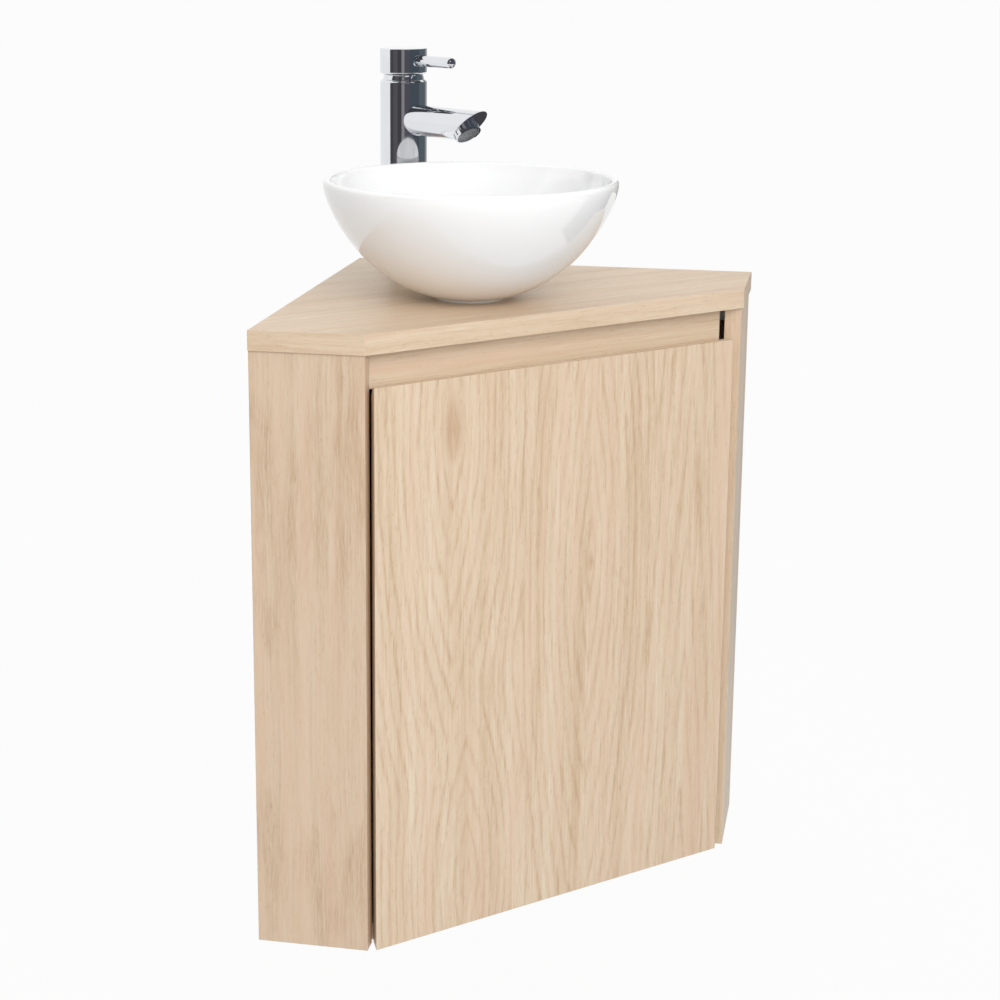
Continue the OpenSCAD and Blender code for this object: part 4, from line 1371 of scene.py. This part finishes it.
@dataclass
class Fasteners:
    """Screws and cam locks, set on the places of their CAD solids.

    Attributes:
        heads: For each node, the depth of its heads in mm, or none for a plain disc.
        rod: Radius of a screw's shank over its head's.
        pin: Radius of a cam lock's pin over its head's.
    """

    heads: tuple[tuple[str, Optional[float]], ...] = (
        ("rail_screws", 3.0),
        ("block_screws", 2.2),
        ("catch_screws", 1.4),
        ("plate_screws", 2.2),
        ("arm_screws", 2.4),
        ("cup_screws", 1.2),
        ("strike_screws", 1.4),
        ("cam_locks", None),
    )
    rod: float = 0.5
    pin: float = 0.3

    @staticmethod
    def solids(node: str) -> list[tuple[Vector, Vector, float, float]]:
        """Reads each solid of a node of fasteners.

        Args:
            node: The CAD node.

        Returns:
            For each solid its face's middle, outward axis, radius and length, in metres.
        """
        work = merged(node)
        found, seen = [], set()
        for first in work.faces:
            island, edge = set(), {first} - seen
            while edge:
                island |= edge
                edge = {f for g in edge for e in g.edges for f in e.link_faces} - island
            if not island:
                continue
            seen |= island
            widest = max(f.calc_area() for f in island)
            ends = [f for f in island if f.calc_area() > 0.98 * widest]
            top = min(ends, key=lambda f: f.normal.y + f.normal.z)
            middle, axis = top.calc_center_bounds(), top.normal.copy()
            radius = max((v.co - middle).length for v in top.verts)
            length = max((middle - v.co).dot(axis) for f in island for v in f.verts)
            found.append((middle, axis, radius, length))
        work.free()
        return found

    def build(self) -> None:
        """Sets a head and a shank on every solid of each node."""
        for node, depth in self.heads:
            solids = self.solids(node)
            mesh = bpy.data.meshes.new(node)
            mesh.from_pydata([s[0] for s in solids], [], [])
            names = ("axis", "head", "rod")
            axes, heads, rods = (mesh.attributes.new(name, "FLOAT_VECTOR", "POINT") for name in names)
            for i, (_, axis, radius, length) in enumerate(solids):
                thin = radius * (self.pin if depth is None else self.rod)
                axes.data[i].vector = axis
                heads.data[i].vector = (radius, radius, length if depth is None else depth * MM)
                rods.data[i].vector = (thin, thin, length - 0.1 * MM)
            stand_in(FASTENING.build(node + "_set", mesh, ZINC, depth is None), node)


@dataclass
class Fittings:
    """Pressed, moulded and cast pieces: copies of their solids with softened edges.

    Attributes:
        rounding: For each node, the width of its rounded edges and the shortest edge rounded, in mm.
    """

    rounding: tuple[tuple[str, float, float], ...] = (
        ("hinge_plates", 0.35, 2.5),
        ("hinge_arms", 0.25, 1.8),
        ("hinge_cups", 0.2, 2.5),
        ("strike_plate", 0.2, 5.0),
        ("catch_housing", 0.5, 5.0),
        ("catch_poles", 0.15, 1.5),
        ("corner_blocks", 0.7, 5.0),
        ("clamp_nut", 0.35, 3.0),
        ("waste_nut", 0.6, 5.0),
        ("trap_nut", 0.8, 8.0),
        ("outlet_nut", 0.8, 8.0),
        ("aerator_ring", 0.12, 1.0),
    )

    def build(self) -> None:
        """Builds every fitting, and dresses every CAD node that is still shown."""
        for node, width, shortest in self.rounding:
            piece = merged_copy(node, node + "_fitting")
            dress(piece.data, SLOT_FINISHES[slot_of(node)])
            soften(piece, width, shortest)
            stand_in(piece, node)
        for name, node in sorted(frame["nodes"].items()):
            if not node.hide_render:
                finish = SILICONE if name == "basin_seal" else SLOT_FINISHES[slot_of(name)]
                dress(node.data, finish)
                LOG.info("%s: %s", name, finish.name)


@dataclass(frozen=True)
class Cloth:
    """A cloth round the room, between two directions from the tap.

    Attributes:
        start: Its first direction, in degrees.
        end: Its last direction, in degrees.
        foot: Distance and height of its lower edge, in metres.
        head: Distance and height of its upper edge, in metres.
    """

    name: str
    start: float
    end: float
    tone: str
    foot: Point = (4.5, -0.2)
    head: Point = (4.5, 3.2)


@dataclass(frozen=True)
class Flag:
    """A small card near the unit.

    Attributes:
        first: One end of its lower edge, in metres.
        last: The other end.
        rise: From the lower edge to the upper one.
        blocks: Whether it also keeps light off the unit.
    """

    name: str
    first: Place
    last: Place
    rise: Place
    tone: str
    blocks: bool = False


@dataclass
class Studio:
    """White sweep, a soft lamp, dark cloths and the camera.

    Attributes:
        eye: Place of the camera, in mm.
        yaw: Direction of view from +X towards +Y, in degrees.
        pitch: How far the view looks down, in degrees.
        roll: Turn of the picture, in degrees.
        lens: Focal length for a sensor 36 mm wide.
        shift: Shift of the lens.
        floor_z: Height of the floor below the hung unit.
        floor_half: Half the floor's width, in metres.
        floor_glow: Share of plain white in what the eye sees of the floor.
        sky: Strength of the surroundings as a light.
        lamp_at: Place of the lamp, in metres. Its power is in watts.
        lamp_aim: What it points at, in metres.
        cloths: The dark room on the camera's side, which polished metal shows.
        flags: Small cards: one keeps the light off the right side, one close to the spout puts a painted dark
            reflection on its slanted end, and one is the lamp's bright face.
    """

    eye: Place = (-1122.1, -1862.2, 916.8)
    yaw: float = 56.725
    pitch: float = 13.709
    roll: float = 0.190
    lens: float = 76.36
    shift: Point = (0.060, -0.070)
    floor_z: float = -230.0
    floor_half: float = 60.0
    floor_tone: str = "BEBEBE"
    floor_glow: float = 0.95
    sky: float = 0.82
    lamp_at: Place = (-0.6, -2.25, 1.5)
    lamp_size: Point = (1.8, 1.6)
    lamp_power: float = 29.0
    lamp_aim: Place = (0.0, -0.2, 0.4)
    cloths: tuple[Cloth, ...] = (
        Cloth("left_cloth", -190, -172, "4A494C"),
        Cloth("left_fold", -172, -150, "58575B"),
        Cloth("left_end", -150, -131, "464548"),
        Cloth("camera_gap", -131, -117, "8E8A90"),
        Cloth("front_cloth", -117, -93, "55535A"),
        Cloth("blue_cloth", -93, -40, "4A525B"),
        Cloth("blue_fold", -40, 9, "5A646A"),
        Cloth("grey_wall", 9, 42, "9A9896"),
        Cloth("dark_ceiling", -190, 9, "4A4A4E", (4.5, 3.2), (0.6, 4.4)),
    )
    flags: tuple[Flag, ...] = (
        Flag("right_flag", (0.60, -0.62, 0.02), (0.78, -0.12, 0.02), (0, 0, 0.55), "4A525B", True),
        # A dark card close to the spout that only reflections see: a painted dark reflection on the spout's
        # slanted end.
        Flag("spout_flag", (0.0125, -0.173, 0.698), (0.0475, -0.165, 0.698), (0.0336, -0.0216, 0), "47464A"),
        Flag("softbox", (-0.8, -2.3, 1.9), (0.1, -2.3, 1.9), (0, 0.45, 0.45), "FFFFFF"),
    )

    def camera(self) -> None:
        """Stands the camera at the photograph's viewpoint."""
        yaw, pitch, roll = (math.radians(a) for a in (self.yaw, self.pitch, self.roll))
        look = Vector((math.cos(yaw) * math.cos(pitch), math.sin(yaw) * math.cos(pitch), -math.sin(pitch)))
        level = Vector((math.sin(yaw), -math.cos(yaw), 0))
        top = level.cross(look)
        right = math.cos(roll) * level + math.sin(roll) * top
        up = math.cos(roll) * top - math.sin(roll) * level
        data = bpy.data.cameras.new("camera")
        data.lens = self.lens
        data.sensor_width = 36
        data.shift_x, data.shift_y = self.shift
        data.clip_end = 200
        camera = make_object("camera", data)
        turn = Matrix((right, up, -look)).transposed().to_4x4()
        camera.matrix_world = Matrix.Translation(Vector(self.eye) * MM) @ turn
        bpy.context.scene.camera = camera

    def world(self) -> None:
        """White surroundings for the eye and for reflections, and a plain level of light."""
        world = bpy.data.worlds.new("white_studio")
        bpy.context.scene.world = world
        world.use_nodes = True
        tree = world.node_tree
        tree.nodes.clear()
        path = add(tree, "ShaderNodeLightPath").outputs
        seen = maths(tree, "MAXIMUM", path["Is Camera Ray"], path["Is Glossy Ray"])
        shown = maths(tree, "MAXIMUM", seen, path["Is Transmission Ray"])
        strength = remap(tree, shown, (0.0, 1.0), (self.sky, 1.0))
        sky = add(tree, "ShaderNodeBackground", {"Color": (1, 1, 1, 1), "Strength": strength})
        add(tree, "ShaderNodeOutputWorld", {"Surface": sky.outputs[0]})

    def lamp(self) -> None:
        """Hangs one soft rectangular lamp in front, on the left."""
        data = bpy.data.lights.new("front_lamp", "AREA")
        data.shape = "RECTANGLE"
        data.size, data.size_y = self.lamp_size
        data.energy = self.lamp_power
        lamp = make_object("front_lamp", data)
        lamp.visible_glossy = False
        at = Vector(self.lamp_at)
        turn = (Vector(self.lamp_aim) - at).to_track_quat("-Z", "Y")
        lamp.matrix_world = Matrix.Translation(at) @ turn.to_matrix().to_4x4()

    @staticmethod
    def card(name: str, low: Sequence[Vector], high: Sequence[Vector], tone: str, blocks: bool) -> None:
        """Hangs a card or cloth that reflections see and the eye doesn't.

        Args:
            name: Its name.
            low: Points of its lower edge, in metres.
            high: As many points of its upper edge.
            tone: Its colour.
            blocks: Whether it also keeps light off the unit.
        """
        mesh = bpy.data.meshes.new(name)
        count = len(low)
        mesh.from_pydata([*low, *high], [], [(i, i + 1, count + i + 1, count + i) for i in range(count - 1)])
        mat, tree, _ = new_material(name + "_cloth")
        glow = add(tree, "ShaderNodeEmission", {"Color": colour(tone)})
        add(tree, "ShaderNodeOutputMaterial", {"Surface": glow.outputs[0]})
        mesh.materials.append(mat)
        card = make_object(name, mesh)
        card.visible_camera = card.visible_transmission = False
        card.visible_diffuse = card.visible_shadow = blocks

    def surroundings(self) -> None:
        """Hangs every cloth and card."""
        for cloth in self.cloths:
            span = cloth.end - cloth.start
            steps = max(1, int(span / 6))
            angles = [math.radians(cloth.start + span * i / steps) for i in range(steps + 1)]
            edges = (cloth.foot, cloth.head)
            low, high = ([Vector((r * math.cos(a), r * math.sin(a), z)) for a in angles] for r, z in edges)
            self.card(cloth.name, low, high, cloth.tone, False)
        for flag in self.flags:
            low = [Vector(flag.first), Vector(flag.last)]
            self.card(flag.name, low, [corner + Vector(flag.rise) for corner in low], flag.tone, flag.blocks)

    def floor(self) -> None:
        """A wide pale floor that stays near white and keeps the unit's shadow."""
        half = self.floor_half
        square = ((-half, -half), (half, -half), (half, half), (-half, half))
        corners = [(x, y, self.floor_z * MM) for x, y in square]
        mesh = bpy.data.meshes.new("floor")
        mesh.from_pydata(corners, [], [(0, 1, 2, 3)])
        mat, tree, _ = new_material("white_paper_sweep")
        path = add(tree, "ShaderNodeLightPath").outputs
        seen = maths(tree, "MAXIMUM", path["Is Camera Ray"], path["Is Glossy Ray"])
        share = maths(tree, "MULTIPLY", seen, self.floor_glow)
        paper = add(tree, "ShaderNodeBsdfDiffuse", {"Color": colour(self.floor_tone)})
        glow = add(tree, "ShaderNodeEmission", {"Color": (1, 1, 1, 1), "Strength": 1.0})
        mixed = add(tree, "ShaderNodeMixShader", {0: share, 1: paper.outputs[0], 2: glow.outputs[0]})
        add(tree, "ShaderNodeOutputMaterial", {"Surface": mixed.outputs[0]})
        mesh.materials.append(mat)
        make_object("floor", mesh)

    def build(self) -> None:
        """Sets the stage."""
        self.camera()
        self.world()
        self.floor()
        self.surroundings()
        self.lamp()
        bpy.context.scene.view_settings.view_transform = "Standard"
        LOG.info("studio ready")


def main() -> None:
    """Builds the whole scene."""
    logging.basicConfig(level=logging.INFO, format="%(name)s %(message)s")
    for part in (Studio(), Cabinet(), Basin(), Tap(), Waste(), Fasteners(), Fittings()):
        part.build()
        LOG.info("%s done", type(part).__name__)


if __name__ == "__main__":
    main()
